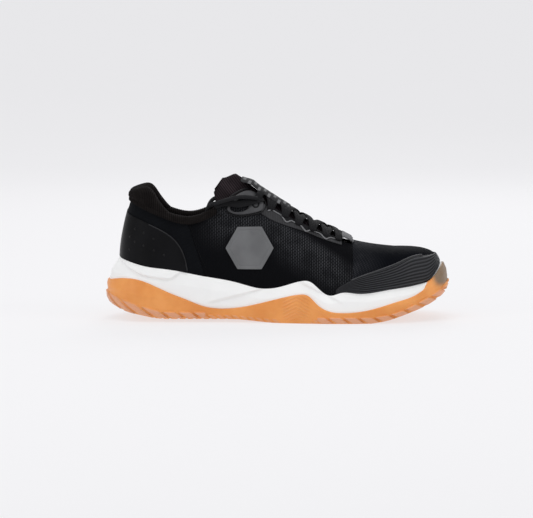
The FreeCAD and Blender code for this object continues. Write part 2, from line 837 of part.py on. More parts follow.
def ridge_lift(x):
    # Height of the label over the tongue: on it at the back, and over the laces ahead of that.
    part = (x - label_back) / (label_front - label_back)
    rise = clamp(part / 0.2, 0, 1)
    return tongue_top + tongue_bulge(x, 0) + 0.4 + label_rise * rise * rise * (3 - 2 * rise)


label_back, label_front = forward(-11.0), forward(3.0)
label_rise = 10.8


def label():
    steps = 24
    rails = [[] for _ in range(4)]
    for i in range(steps + 1):
        x = between(label_back, label_front, i / steps)
        middle = Vector(x, ridge_place(x), ridge_height(x))
        slope = (ridge_height(x + 1) - ridge_height(x - 1)) / 2
        normal = Vector(-slope, 0, 1)
        normal.normalize()
        for rail, (side, high) in zip(rails, [(-1, 0), (1, 0), (1, 1), (-1, 1)]):
            point = middle + normal * (ridge_lift(x) + high * label_thickness)
            rail.append(point + Vector(0, side * label_half_width, 0))
    return rail_solid(rails)


save("tongue_label", label())

# ---- throat: patch and webbing tab ----
patch_front = throat_x + 11.0
patch_high = overlay_low + throat_patch_thickness
save("throat_patch", ridge_layer(throat_x + panel_gap, patch_front, lambda girth: 0.2,
                                 lambda girth, share: overlay_low, lambda girth, share: patch_high, 6))
tab_back = forward(17.8)
tab_front = throat_x + 5.0
tab_low = patch_high + layer_gap
tab_lift = 3.4


def tab_under(girth, share):
    part = clamp((tab_front - girth) / (tab_front - tab_back), 0, 1)
    return tab_low + tab_lift * math.sin(math.pi * min(part * 1.1, 0.5))


save("throat_tab", ridge_layer(tab_back, tab_front, lambda girth: 0.13, tab_under,
                               lambda girth, share: tab_under(girth, share) + loop_thickness, 10))

# ---- lace ----
lace_rows = [forward(row) for row in (-6.0, -1.8, 2.4, 6.6, 10.8, 15.0, 19.0)]
lace_turn_radius = 3.0
lace_share = 0.30
lace_low = trim_low + trim_thickness + lace_gap
lace_cross_low = 0.8
lace_cross_high = lace_cross_low + lace_diameter + 0.4


def lace_points():
    # Corners of the lace's route, from the outer top row down and back up to the inner one.
    last = len(lace_rows) - 1
    places = []

    def turn(row, side, heading):
        for step in (-1, 1):
            places.append((lace_rows[row] + heading * step * lace_turn_radius, side * lace_share, lace_low))

    def cross(start, finish, side, high):
        for part in (0.27, 0.52, 0.74):
            share = between(side * lace_share, -side * lace_share, part)
            height = between(lace_low, high, math.sin(math.pi * part))
            places.append((between(start, finish, part), share, height))

    side = -1
    places.append((lace_rows[0] + lace_turn_radius, side * lace_share, lace_low))
    for row in range(last):
        cross(lace_rows[row] + lace_turn_radius, lace_rows[row + 1] - lace_turn_radius, side, lace_cross_low)
        side = -side
        turn(row + 1, side, 1)
    cross(lace_rows[last] + lace_turn_radius, lace_rows[last] + lace_turn_radius, side, lace_cross_low)
    side = -side
    for row in range(last, 0, -1):
        turn(row, side, -1)
        cross(lace_rows[row] - lace_turn_radius, lace_rows[row - 1] + lace_turn_radius, side, lace_cross_high)
        side = -side
    places.append((lace_rows[0] + lace_turn_radius, side * lace_share, lace_low))
    return [offset_surface(girth, share, height + lace_diameter / 2) for girth, share, height in places]


# Route of each free end: out of the top row, back to the collar, over it and down inside the wall.
outer_route = [(-17, -19, 106), (-28.5, -23.5, 108.5), (-41, -28.5, 107.8), (-52, -32, 106.2),
               (-59.5, -25.6, 104.2), (-62.5, -19, 91), (-61.5, -18.5, 78), (-54, -20, 66.5), (-39, -22, 58.5), (-21, -25, 53),
               (-1, -28.5, 49.5), (19, -32.5, 46.5), (36, -35, 44.5)]
inner_route = [(-17, 18.5, 106), (-28.5, 22.5, 108.5), (-41, 27, 108), (-52, 30, 106.8), (-59.5, 24, 104.6),
               (-62.5, 18, 90.5), (-61, 17.5, 77), (-52.5, 18.5, 65), (-37, 20, 57), (-18, 22, 52),
               (1, 23, 49), (19, 24.5, 47), (34, 25.5, 45.5)]


def route_wire(points):
    # Straight runs joined by tangent arcs, each as large as its runs allow.
    edges = []
    start = points[0]
    radii = []
    for before, corner, after in zip(points, points[1:], points[2:]):
        first, second = corner - before, after - corner
        half_turn = first.getAngle(second) / 2
        cut = 0.45 * min(first.Length, second.Length)
        radii.append(round(cut / math.tan(half_turn), 1))
        first.normalize()
        second.normalize()
        enter, leave = corner - first * cut, corner + second * cut
        inward = second - first
        inward.normalize()
        radius = cut / math.tan(half_turn)
        middle = corner + inward * (radius / math.cos(half_turn) - radius)
        edges.append(Part.makeLine(start, enter))
        edges.append(Part.Arc(enter, middle, leave).toShape())
        start = leave
    edges.append(Part.makeLine(start, points[-1]))
    return Part.Wire(edges), radii


def tube(points, diameter):
    wire, radii = route_wire(points)
    direction = points[1] - points[0]
    circle = Part.Wire(Part.makeCircle(diameter / 2, points[0], direction))
    shape = wire.makePipeShell([circle], True, False)
    share = shape.Volume / (math.pi * diameter ** 2 / 4 * wire.Length)
    print("cord length", round(wire.Length, 1), "radii", radii, "volume share", round(share, 4))
    return shape


save("lace", tube(lace_points(), lace_diameter))
for name, route in (("lateral", outer_route), ("medial", inner_route)):
    points = [Vector(*row) for row in route]
    save("lace_end_" + name, tube(points, lace_end_diameter))
    heading = points[-1] - points[-2]
    save("aglet_" + name, Part.makeCylinder(aglet_diameter / 2, aglet_length, points[-1], heading))
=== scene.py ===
import bpy
import bmesh
import math
from functools import lru_cache
from mathutils import Matrix, Vector


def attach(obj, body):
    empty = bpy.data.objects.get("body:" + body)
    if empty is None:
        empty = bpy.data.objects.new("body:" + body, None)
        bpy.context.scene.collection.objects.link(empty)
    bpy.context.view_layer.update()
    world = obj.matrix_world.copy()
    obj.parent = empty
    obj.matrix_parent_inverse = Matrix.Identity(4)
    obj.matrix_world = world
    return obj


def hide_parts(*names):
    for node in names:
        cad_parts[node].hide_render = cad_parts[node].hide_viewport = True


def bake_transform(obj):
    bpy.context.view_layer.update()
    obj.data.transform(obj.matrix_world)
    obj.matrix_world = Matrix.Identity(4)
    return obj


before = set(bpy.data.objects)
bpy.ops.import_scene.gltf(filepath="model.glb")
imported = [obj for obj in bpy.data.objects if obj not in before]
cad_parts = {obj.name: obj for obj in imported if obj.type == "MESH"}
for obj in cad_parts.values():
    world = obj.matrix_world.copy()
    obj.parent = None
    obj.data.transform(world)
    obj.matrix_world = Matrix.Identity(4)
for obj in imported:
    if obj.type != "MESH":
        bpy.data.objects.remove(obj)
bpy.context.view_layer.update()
millimetre = 0.001
print("frame loaded")

# Shape of the shoe in millimetres, laid out along the girth from the heel's middle to the toe's middle.
shoe = {
    "heelEnd": -156.0, "heelCentre": -102.9, "toeCentre": 104.1, "toeEnd": 164.1,
    "shiftX": -0.51, "shiftY": 1.94,
    "throatHalf": 0.24, "throatFront": 66.0, "collarFront": -25.5, "foamFront": -52.5,
    "meshThickness": 1.2,
}
outerOutline = [(-156, -138, 0), (-142.8, -135.3, 13.3), (-129.6, -127.2, 24.2), (-116.1, -115.8, 30.8),
                (-102.9, -102.9, 33.5), (-78, -78, 34.2), (-50.1, -50.1, 34.6), (-20.1, -20.1, 37.2),
                (9.9, 9.9, 42.4), (39.9, 39.9, 46.4), (60, 60, 47.4), (81, 81, 46), (104.1, 104.1, 41),
                (119.1, 117.9, 34.8), (134.1, 130.8, 25.6), (149.1, 140.4, 12.8), (164.1, 144, -2.5)]
innerOutline = [(-156, -138, 0), (-142.8, -135.3, 13.2), (-129.6, -127.2, 24), (-116.1, -115.8, 30.4),
                (-102.9, -102.9, 33), (-78, -78, 33.2), (-50.1, -50.1, 31.8), (-20.1, -20.1, 31.8),
                (9.9, 9.9, 35.2), (39.9, 39.9, 40.2), (60, 60, 42.8), (81, 81, 43.5), (104.1, 104.1, 41.4),
                (119.1, 118.5, 37.2), (134.1, 132, 30), (149.1, 141, 17.6), (164.1, 144, 2.5)]
heightLines = {
    "floor": [(-138, 33), (-102, 31), (-51, 24.5), (0, 19), (51, 15.5), (81, 16), (105, 19), (126, 24), (144, 30)],
    "ridge": [(-102.9, 165), (-81, 152), (-60, 138), (-39.9, 124), (-20.1, 111), (0, 98.5), (20.1, 87), (39.9, 77.5),
              (60, 69.8), (75, 66), (90, 63.5), (104.1, 62)],
    "ridgeSide": [(-102.9, 0), (-50.1, 1), (0, 2), (60, 2), (104.1, 1)],
    "round": [(-156, 2.6), (-102.9, 2.6), (-39, 2.3), (0, 2.1), (39, 2.2), (69, 2.5), (104.1, 3), (164.1, 4.2)],
    "collar": [(-156, 110), (-141, 109.5), (-126, 106), (-114, 101.5), (-102.9, 97), (-87, 91.2), (-76.5, 89.8),
               (-64.5, 92.6), (-54, 97.6), (-43.5, 102.6), (-34.5, 106), (-25.5, 108.2)],
    "lip": [(-138, 54), (-126, 50.5), (-114, 47.6), (-93, 45), (-65.1, 39.6), (-36, 34.4), (-12, 29), (6, 31.7),
            (22.2, 36.3), (28.5, 35.8), (40.8, 25.8), (46.8, 23.8), (54.9, 26), (69, 25.6), (96, 28.2),
            (126, 32.4), (133, 35.2), (139, 41.5), (144, 48.5)],
    "band": [(-148.5, 33.5), (-141, 36), (-132, 37), (-120, 35.9), (-107.1, 31.3), (-93, 25), (-78.9, 19.5),
             (-65.1, 14), (-46.8, 11.5), (-27, 13.8), (6, 22.1), (20.1, 24.8), (27, 23.6), (34.5, 16.5), (42, 11.6),
             (55.5, 9.1),
             (76.5, 10.9), (90, 14.1), (105, 18.3), (119.1, 22.3), (128, 27), (132, 31.5), (135.5, 40),
             (141, 49), (148.5, 56)],
    "ground": [(-148.8, 30), (-142.5, 16), (-135, 9), (-127.5, 5), (-117, 2.2), (-105, 0.5), (-96, 0), (81, 0),
               (97.5, 2.6), (112.5, 7.4), (126, 12.8), (135, 18), (142.5, 24.5), (149.7, 35)],
}


def smoothLine(points):
    # natural cubic through the points, straight past both ends
    xs = [p[0] for p in points]
    ys = [p[1] for p in points]
    count = len(xs)
    step = [xs[i + 1] - xs[i] for i in range(count - 1)]
    slope = [(ys[i + 1] - ys[i]) / step[i] for i in range(count - 1)]
    upper, right, bend = [0.0] * count, [0.0] * count, [0.0] * count
    for i in range(1, count - 1):
        pivot = 2 * (step[i - 1] + step[i]) - step[i - 1] * upper[i - 1]
        upper[i] = step[i] / pivot
        right[i] = (6 * (slope[i] - slope[i - 1]) - step[i - 1] * right[i - 1]) / pivot
    for i in range(count - 2, 0, -1):
        bend[i] = right[i] - upper[i] * bend[i + 1]

    @lru_cache(maxsize=None)
    def value(x):
        if x <= xs[0]:
            return ys[0] + (slope[0] - step[0] * bend[1] / 6) * (x - xs[0])
        if x >= xs[-1]:
            return ys[-1] + (slope[-1] + step[-1] * bend[-2] / 6) * (x - xs[-1])
        k = 0
        while xs[k + 1] < x:
            k += 1
        after = (x - xs[k]) / step[k]
        before = 1 - after
        curve = (before ** 3 - before) * bend[k] + (after ** 3 - after) * bend[k + 1]
        return before * ys[k] + after * ys[k + 1] + curve * step[k] ** 2 / 6
    return value


def clamp(value, low, high):
    return max(low, min(high, value))


def mix(low, high, part):
    return low + (high - low) * part


def smoothStep(value):
    value = clamp(value, 0, 1)
    return value * value * (3 - 2 * value)


def bump(value, centre, half):
    # 1 at the centre, easing to 0 at half a width away
    return smoothStep(1 - abs(value - centre) / half)


def bulged(value, power):
    # keeps the sign and fills out a circle's corners
    return math.copysign(abs(value) ** power, value)


lines = {name: smoothLine(points) for name, points in heightLines.items()}
outlines = {}
for sideName, sign, rows in (("outer", -1, outerOutline), ("inner", 1, innerOutline)):
    outlines[sideName] = (smoothLine([(row[0], row[1]) for row in rows]),
                          smoothLine([(row[0], sign * row[2]) for row in rows]))


@lru_cache(maxsize=None)
def girthFacts(girth, outer):
    # what the surface needs at one place along the girth
    side = outlines["outer" if outer else "inner"]
    baseX, baseY = side[0](girth), side[1](girth)
    centreX = clamp(girth, shoe["heelCentre"], shoe["toeCentre"])
    bottom = lines["floor"](clamp(baseX, -138, 144))
    behind = clamp((shoe["heelCentre"] - girth) / (shoe["heelCentre"] - shoe["heelEnd"]), 0, 1)
    centreY, top, power = lines["ridgeSide"](centreX), lines["ridge"](centreX), lines["round"](girth)
    return baseX, baseY, centreX, centreY, bottom, top, power, behind


def surfacePoint(girth, share):
    # the upper's outside: share is 1 on the sole, 0 on the ridge and negative on the outer side
    baseX, baseY, centreX, centreY, bottom, top, power, behind = girthFacts(girth, share < 0)
    turn = (1 - abs(share)) * math.pi / 2
    scale = (abs(math.cos(turn)) ** power + abs(math.sin(turn)) ** power) ** (-1 / power)
    reach, rise = scale * math.cos(turn), scale * math.sin(turn)
    z = bottom + rise * (top - bottom)
    lean = 6 * max(0, (z - 50) / 44) ** 2 * behind ** 2
    return Vector((centreX + reach * (baseX - centreX) + lean, centreY + reach * (baseY - centreY), z))


@lru_cache(maxsize=None)
def shareAt(girth, height):
    bottom = lines["floor"](clamp(outlines["outer"][0](girth), -138, 144))
    top = lines["ridge"](clamp(girth, shoe["heelCentre"], shoe["toeCentre"]))
    power = lines["round"](girth)
    rise = clamp((height - bottom) / (top - bottom), 0, 0.999)
    return 1 - math.atan2(rise, (1 - rise ** power) ** (1 / power)) / (math.pi / 2)


def surfaceNormal(girth, share):
    tiny = 0.004 if share > 0 else -0.004
    along = surfacePoint(girth + 0.4, share) - surfacePoint(girth - 0.4, share)
    down = surfacePoint(girth, share + tiny) - surfacePoint(girth, share - tiny)
    normal = along.cross(down).normalized()
    return normal if share > 0 else -normal


def awayFrom(girth, share, distance):
    # a point at a distance outside the upper's surface; near the ridge the two sides are blended
    edge = 0.02
    if abs(share) >= edge:
        return surfacePoint(girth, share) + surfaceNormal(girth, share) * distance
    left = surfacePoint(girth, -edge) + surfaceNormal(girth, -edge) * distance
    right = surfacePoint(girth, edge) + surfaceNormal(girth, edge) * distance
    return left.lerp(right, (share + edge) / (2 * edge))


def aroundToe(turned, share, distance):
    side = -1 if turned < 0 else 1
    return awayFrom(shoe["toeEnd"] - max(abs(turned), 0.05), side * share, distance)


@lru_cache(maxsize=None)
def climbSteps(girth, outer):
    # lengths over the surface from the sole up to the ridge
    steps = 24
    sign = -1 if outer else 1
    points = [surfacePoint(girth, sign * max(1 - i / steps, 0.001)) for i in range(steps + 1)]
    lengths = [0.0]
    for before, after in zip(points, points[1:]):
        lengths.append(lengths[-1] + (after - before).length)
    return lengths


def climb(girth, share):
    lengths = climbSteps(round(girth), share < 0)
    place = (1 - clamp(abs(share), 0, 1)) * (len(lengths) - 1)
    low = min(int(place), len(lengths) - 2)
    return mix(lengths[low], lengths[low + 1], place - low)


def collarShare(girth):
    return shareAt(girth, lines["collar"](girth))


def rimShare(girth):
    # upper edge of the side panels: the collar behind, the throat's edge ahead
    if girth < shoe["collarFront"]:
        return max(collarShare(girth), shoe["throatHalf"])
    ahead = clamp((girth - shoe["collarFront"]) / 12, 0, 1)
    return mix(max(collarShare(shoe["collarFront"]), shoe["throatHalf"]), shoe["throatHalf"], ahead)


def inFrame(point):
    return Vector((point.x + shoe["shiftX"], point.y + shoe["shiftY"], point.z)) * millimetre


def declarePiece(piece, material, body, replaces=()):
    piece.data.materials.append(material)
    if body:
        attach(piece, body)
    if replaces:
        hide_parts(*replaces)
    return piece


def linkMesh(name, bm, material, body="shoe", replaces=(), outward=None):
    # outward says for an open sheet which way is out; a closed shell finds it by itself
    bmesh.ops.remove_doubles(bm, verts=bm.verts[:], dist=2e-6)
    bmesh.ops.dissolve_degenerate(bm, edges=bm.edges[:], dist=1e-6)
    bmesh.ops.recalc_face_normals(bm, faces=bm.faces[:])
    if outward:
        lean = sum(face.normal.dot(outward(face.calc_center_median())) * face.calc_area() for face in bm.faces)
        if lean < 0:
            bmesh.ops.reverse_faces(bm, faces=bm.faces[:])
    mesh = bpy.data.meshes.new(name)
    bm.to_mesh(mesh)
    bm.free()
    mesh.polygons.foreach_set("use_smooth", [True] * len(mesh.polygons))
    piece = bpy.data.objects.new(name, mesh)
    bpy.context.collection.objects.link(piece)
    return declarePiece(piece, material, body, replaces)


def fromMiddle(centre):
    # outward on the shoe: away from the line inside the foot's room
    inside = Vector((clamp(centre.x, -0.095, 0.095), shoe["shiftY"] * millimetre, 0.045))
    return (centre - inside).normalized()


def mappedGrid(columns, rows, place):
    # a grid laid on the shoe: place(a, b) gives a point, its cloth measure in millimetres and a tint
    bm = bmesh.new()
    uvLayer = bm.loops.layers.uv.new("cloth")
    tintLayer = bm.verts.layers.float.new("tint")
    bmesh.ops.create_grid(bm, x_segments=columns, y_segments=rows, size=0.5)
    measures = {}
    for vert in bm.verts:
        a, b = clamp(vert.co.x + 0.5, 0, 1), clamp(vert.co.y + 0.5, 0, 1)
        point, measure, tint = place(a, b)
        vert.co = inFrame(point)
        vert[tintLayer] = tint
        measures[vert] = measure
    for face in bm.faces:
        for loop in face.loops:
            loop[uvLayer].uv = measures[loop.vert]
    return bm


def addSolidify(piece, thickness):
    wall = piece.modifiers.new("wall", "SOLIDIFY")
    wall.thickness = thickness * millimetre
    wall.offset = -1
    wall.use_even_offset = True
    return wall


def sweptBand(name, points, normals, width, thickness, material, body="shoe", replaces=(), roundness=3.0):
    # a flat strap with rounded edges along a line of points; normals say which way its face looks
    count = len(points)
    lengths = [0.0]
    for before, after in zip(points, points[1:]):
        lengths.append(lengths[-1] + (after - before).length)
    ringCount = 12

    def place(a, b):
        k = round(a * (count - 1))
        ahead = points[min(k + 1, count - 1)] - points[max(k - 1, 0)]
        across = ahead.cross(normals[k]).normalized()
        up = across.cross(ahead).normalized()
        turn = 2 * math.pi * b
        cosine, sine = math.cos(turn), math.sin(turn)
        wide = bulged(cosine, 2 / roundness) * width / 2
        high = bulged(sine, 2 / roundness) * thickness / 2
        if k in (0, count - 1):
            wide, high = wide * 0.001, high * 0.001
        return points[k] + across * wide + up * high, (lengths[k], wide + width * 2 * (1 if sine < 0 else 0)), 0.0
    return linkMesh(name, mappedGrid(count - 1, ringCount, place), material, body, replaces)


def joinedShapes(makers):
    # several small shapes in one mesh
    bm = bmesh.new()
    bm.loops.layers.uv.new("cloth")
    for maker in makers:
        maker(bm)
    return bm


# materials: shared effects are node groups, and each material places them with its own values
def newGroup(name, inputs, outputs):
    group = bpy.data.node_groups.new(name, "ShaderNodeTree")
    for label, kind, value in inputs:
        socket = group.interface.new_socket(name=label, in_out="INPUT", socket_type=kind)
        if value is not None:
            socket.default_value = value
    for label, kind in outputs:
        group.interface.new_socket(name=label, in_out="OUTPUT", socket_type=kind)
    return group, group.nodes.new("NodeGroupInput"), group.nodes.new("NodeGroupOutput")


def plug(tree, value, socket):
    if isinstance(value, bpy.types.NodeSocket):
        tree.links.new(value, socket)
    elif value is not None:
        socket.default_value = value


def maths(tree, operation, first, second=None):
    node = tree.nodes.new("ShaderNodeMath")
    node.operation = operation
    for socket, value in zip(node.inputs, (first, second)):
        plug(tree, value, socket)
    return node.outputs[0]


def spread(tree, value, fromLow, fromHigh, toLow=0.0, toHigh=1.0):
    node = tree.nodes.new("ShaderNodeMapRange")
    node.interpolation_type = "SMOOTHSTEP"
    for socket, entry in zip(node.inputs, (value, fromLow, fromHigh, toLow, toHigh)):
        plug(tree, entry, socket)
    return node.outputs[0]


def blendColors(tree, part, first, second):
    node = tree.nodes.new("ShaderNodeMix")
    node.data_type = "RGBA"
    plug(tree, part, node.inputs["Factor"])
    for socket, value in ((node.inputs[6], first), (node.inputs[7], second)):
        plug(tree, (*value, 1) if isinstance(value, tuple) and len(value) == 3 else value, socket)
    return node.outputs[2]


def splitVector(tree, vector):
    node = tree.nodes.new("ShaderNodeSeparateXYZ")
    plug(tree, vector, node.inputs[0])
    return node.outputs


# fine grain and slow mottling of any surface, in millimetres
surfaceGrain, groupIn, groupOut = newGroup("surfaceGrain", [
    ("Place", "NodeSocketVector", None), ("Fine", "NodeSocketFloat", 3.0), ("Slow", "NodeSocketFloat", 0.06)],
    [("Grain", "NodeSocketFloat"), ("Mottle", "NodeSocketFloat")])
for label, source, detail in (("Grain", "Fine", 4.0), ("Mottle", "Slow", 3.0)):
    noise = surfaceGrain.nodes.new("ShaderNodeTexNoise")
    noise.inputs["Detail"].default_value = detail
    surfaceGrain.links.new(groupIn.outputs["Place"], noise.inputs["Vector"])
    surfaceGrain.links.new(groupIn.outputs[source], noise.inputs["Scale"])
    surfaceGrain.links.new(noise.outputs["Fac"], groupOut.inputs[label])

# rows of short dashes: the mesh's open stitches, standing up from sole to ridge
dashRows, groupIn, groupOut = newGroup("dashRows", [
    ("Place", "NodeSocketVector", None), ("Pitch", "NodeSocketFloat", 2.0), ("Length", "NodeSocketFloat", 3.2),
    ("Duty", "NodeSocketFloat", 0.4), ("Fill", "NodeSocketFloat", 0.72)],
    [("Dash", "NodeSocketFloat")])
parts = splitVector(dashRows, groupIn.outputs["Place"])
across = maths(dashRows, "DIVIDE", parts[0], groupIn.outputs["Pitch"])
column = maths(dashRows, "FLOOR", across)
inColumn = maths(dashRows, "ABSOLUTE", maths(dashRows, "SUBTRACT", maths(dashRows, "FRACT", across), 0.5))
shifted = maths(dashRows, "FRACT", maths(dashRows, "MULTIPLY", column, 0.5))
along = maths(dashRows, "ADD", maths(dashRows, "DIVIDE", parts[1], groupIn.outputs["Length"]), shifted)
inRow = maths(dashRows, "ABSOLUTE", maths(dashRows, "SUBTRACT", maths(dashRows, "FRACT", along), 0.5))
narrow = maths(dashRows, "MULTIPLY", groupIn.outputs["Duty"], 0.5)
short = maths(dashRows, "MULTIPLY", groupIn.outputs["Fill"], 0.5)
sideMask = spread(dashRows, maths(dashRows, "SUBTRACT", inColumn, narrow), -0.08, 0.08, 1.0, 0.0)
endMask = spread(dashRows, maths(dashRows, "SUBTRACT", inRow, short), -0.08, 0.08, 1.0, 0.0)
dashRows.links.new(maths(dashRows, "MULTIPLY", sideMask, endMask), groupOut.inputs["Dash"])

# round holes or knots on a staggered net
dotNet, groupIn, groupOut = newGroup("dotNet", [
    ("Place", "NodeSocketVector", None), ("Pitch", "NodeSocketFloat", 1.6), ("Size", "NodeSocketFloat", 0.5)],
    [("Dot", "NodeSocketFloat")])
parts = splitVector(dotNet, groupIn.outputs["Place"])
downRow = maths(dotNet, "DIVIDE", parts[1], groupIn.outputs["Pitch"])
stagger = maths(dotNet, "MULTIPLY", maths(dotNet, "FLOOR", downRow), 0.5)
alongRow = maths(dotNet, "ADD", maths(dotNet, "DIVIDE", parts[0], groupIn.outputs["Pitch"]), stagger)
offsetX = maths(dotNet, "SUBTRACT", maths(dotNet, "FRACT", alongRow), 0.5)
offsetY = maths(dotNet, "SUBTRACT", maths(dotNet, "FRACT", downRow), 0.5)
far = maths(dotNet, "SQRT", maths(dotNet, "ADD", maths(dotNet, "POWER", maths(dotNet, "ABSOLUTE", offsetX), 2.0),
                                  maths(dotNet, "POWER", maths(dotNet, "ABSOLUTE", offsetY), 2.0)))
edge = maths(dotNet, "MULTIPLY", groupIn.outputs["Size"], 0.5)
dotNet.links.new(spread(dotNet, maths(dotNet, "SUBTRACT", far, edge), -0.1, 0.1, 1.0, 0.0), groupOut.inputs["Dot"])

# straight ribs at an angle: knit, webbing and pressed stripes
ribRows, groupIn, groupOut = newGroup("ribRows", [
    ("Place", "NodeSocketVector", None), ("Pitch", "NodeSocketFloat", 1.4), ("Lean", "NodeSocketFloat", 0.0)],
    [("Rib", "NodeSocketFloat")])
parts = splitVector(ribRows, groupIn.outputs["Place"])
leaned = maths(ribRows, "ADD", parts[0], maths(ribRows, "MULTIPLY", parts[1], groupIn.outputs["Lean"]))
ribPhase = maths(ribRows, "FRACT", maths(ribRows, "DIVIDE", leaned, groupIn.outputs["Pitch"]))
ribRows.links.new(maths(ribRows, "SINE", maths(ribRows, "MULTIPLY", ribPhase, math.pi)), groupOut.inputs["Rib"])


def placeGroup(tree, group, vector, **values):
    node = tree.nodes.new("ShaderNodeGroup")
    node.node_tree = group
    plug(tree, vector, node.inputs["Place"])
    for label, value in values.items():
        plug(tree, value, node.inputs[label])
    return node.outputs


def startMaterial(name, color, roughness, gloss=0.5, **sockets):
    material = bpy.data.materials.new(name)
    material.use_nodes = True
    tree = material.node_tree
    shader = tree.nodes["Principled BSDF"]
    shader.inputs["Base Color"].default_value = (*color, 1)
    shader.inputs["Roughness"].default_value = roughness
    shader.inputs["Specular IOR Level"].default_value = gloss
    for label, value in sockets.items():
        shader.inputs[label.replace("_", " ")].default_value = value
    return material, tree, shader


def objectPlace(tree, turn=(0, 0, 0)):
    # Object coordinates in millimetres
    where = tree.nodes.new("ShaderNodeTexCoord")
    mapping = tree.nodes.new("ShaderNodeMapping")
    mapping.inputs["Scale"].default_value = (1000, 1000, 1000)
    mapping.inputs["Rotation"].default_value = turn
    tree.links.new(where.outputs["Object"], mapping.inputs["Vector"])
    return mapping.outputs[0]


def clothPlace(tree, turn=0.0):
    where = tree.nodes.new("ShaderNodeUVMap")
    where.uv_map = "cloth"
    mapping = tree.nodes.new("ShaderNodeMapping")
    mapping.inputs["Rotation"].default_value = (0, 0, turn)
    tree.links.new(where.outputs[0], mapping.inputs["Vector"])
    return mapping.outputs[0]


def tintOf(tree):
    node = tree.nodes.new("ShaderNodeAttribute")
    node.attribute_name = "tint"
    return node.outputs["Fac"]


def raiseSurface(tree, shader, height, strength, distance=0.0004):
    node = tree.nodes.new("ShaderNodeBump")
    node.inputs["Strength"].default_value = strength
    node.inputs["Distance"].default_value = distance
    tree.links.new(height, node.inputs["Height"])
    tree.links.new(node.outputs[0], shader.inputs["Normal"])


def dressSurface(tree, shader, color, grain, smooth, rough, height, strength, distance=0.0004):
    # colour, a slightly uneven roughness and the raised pattern
    tree.links.new(color, shader.inputs["Base Color"])
    tree.links.new(spread(tree, grain, 0.3, 0.7, smooth, rough), shader.inputs["Roughness"])
    raiseSurface(tree, shader, height, strength, distance)


def gumMaterial():
    # gum rubber: warm, slightly cloudy, paler on the lugs and browner where it is thin over the toe
    material, tree, shader = startMaterial("gumRubber", (0.85, 0.34, 0.09), 0.42, 0.3, Subsurface_Weight=0.12)
    shader.inputs["Subsurface Radius"].default_value = (0.006, 0.003, 0.001)
    where = objectPlace(tree)
    grain = placeGroup(tree, surfaceGrain, where, Fine=1.6, Slow=0.045)
    tint = tintOf(tree)
    base = blendColors(tree, spread(tree, grain["Mottle"], 0.3, 0.7), (0.80, 0.30, 0.075), (0.90, 0.38, 0.11))
    pale = blendColors(tree, spread(tree, tint, 0.05, 1.0), base, (0.76, 0.37, 0.21))
    thin = blendColors(tree, spread(tree, tint, -0.05, -1.0), pale, (0.24, 0.165, 0.105))
    dusty = blendColors(tree, spread(tree, grain["Grain"], 0.55, 0.8, 0.0, 0.12), thin, (0.95, 0.6, 0.35))
    dressSurface(tree, shader, dusty, grain["Grain"], 0.36, 0.52, grain["Grain"], 0.25, 0.0002)
    return material


def midsoleMaterial():
    # moulded foam with a faint pebbled skin
    material, tree, shader = startMaterial("mouldedFoam", (0.93, 0.93, 0.92), 0.5, 0.25, Subsurface_Weight=0.08)
    shader.inputs["Subsurface Radius"].default_value = (0.004, 0.004, 0.004)
    where = objectPlace(tree)
    grain = placeGroup(tree, surfaceGrain, where, Fine=2.4, Slow=0.03)
    shade = blendColors(tree, spread(tree, grain["Mottle"], 0.3, 0.75), (0.92, 0.92, 0.912), (0.96, 0.96, 0.952))
    dressSurface(tree, shader, shade, grain["Grain"], 0.44, 0.6, grain["Grain"], 0.22, 0.00015)
    return material


def frontMeshMaterial():
    # engineered mesh: open stitches show grey where the tint is high and close to plain black where it is low
    material, tree, shader = startMaterial("stripedMesh", (0.01, 0.01, 0.012), 0.7, 0.05, IOR=1.25)
    cloth = clothPlace(tree)
    dash = placeGroup(tree, dashRows, cloth, Pitch=1.5, Length=3.0, Duty=0.42, Fill=0.78)
    fineDash = placeGroup(tree, dashRows, cloth, Pitch=0.62, Length=1.1, Duty=0.5, Fill=0.6)
    grain = placeGroup(tree, surfaceGrain, cloth, Fine=1.7, Slow=0.09)
    tint = tintOf(tree)
    patchy = maths(tree, "MULTIPLY", tint, spread(tree, grain["Mottle"], 0.32, 0.62, 0.45, 1.0))
    light = maths(tree, "MULTIPLY", dash["Dash"], patchy)
    base = blendColors(tree, fineDash["Dash"], (0.003, 0.0031, 0.0038), (0.009, 0.0093, 0.011))
    color = blendColors(tree, light, base, (0.060, 0.062, 0.067))
    tree.links.new(color, shader.inputs["Base Color"])
    tree.links.new(spread(tree, dash["Dash"], 0.0, 1.0, 0.78, 0.55), shader.inputs["Roughness"])
    height = maths(tree, "ADD", dash["Dash"], maths(tree, "MULTIPLY", fineDash["Dash"], 0.45))
    raiseSurface(tree, shader, height, 0.55, 0.0003)
    return material


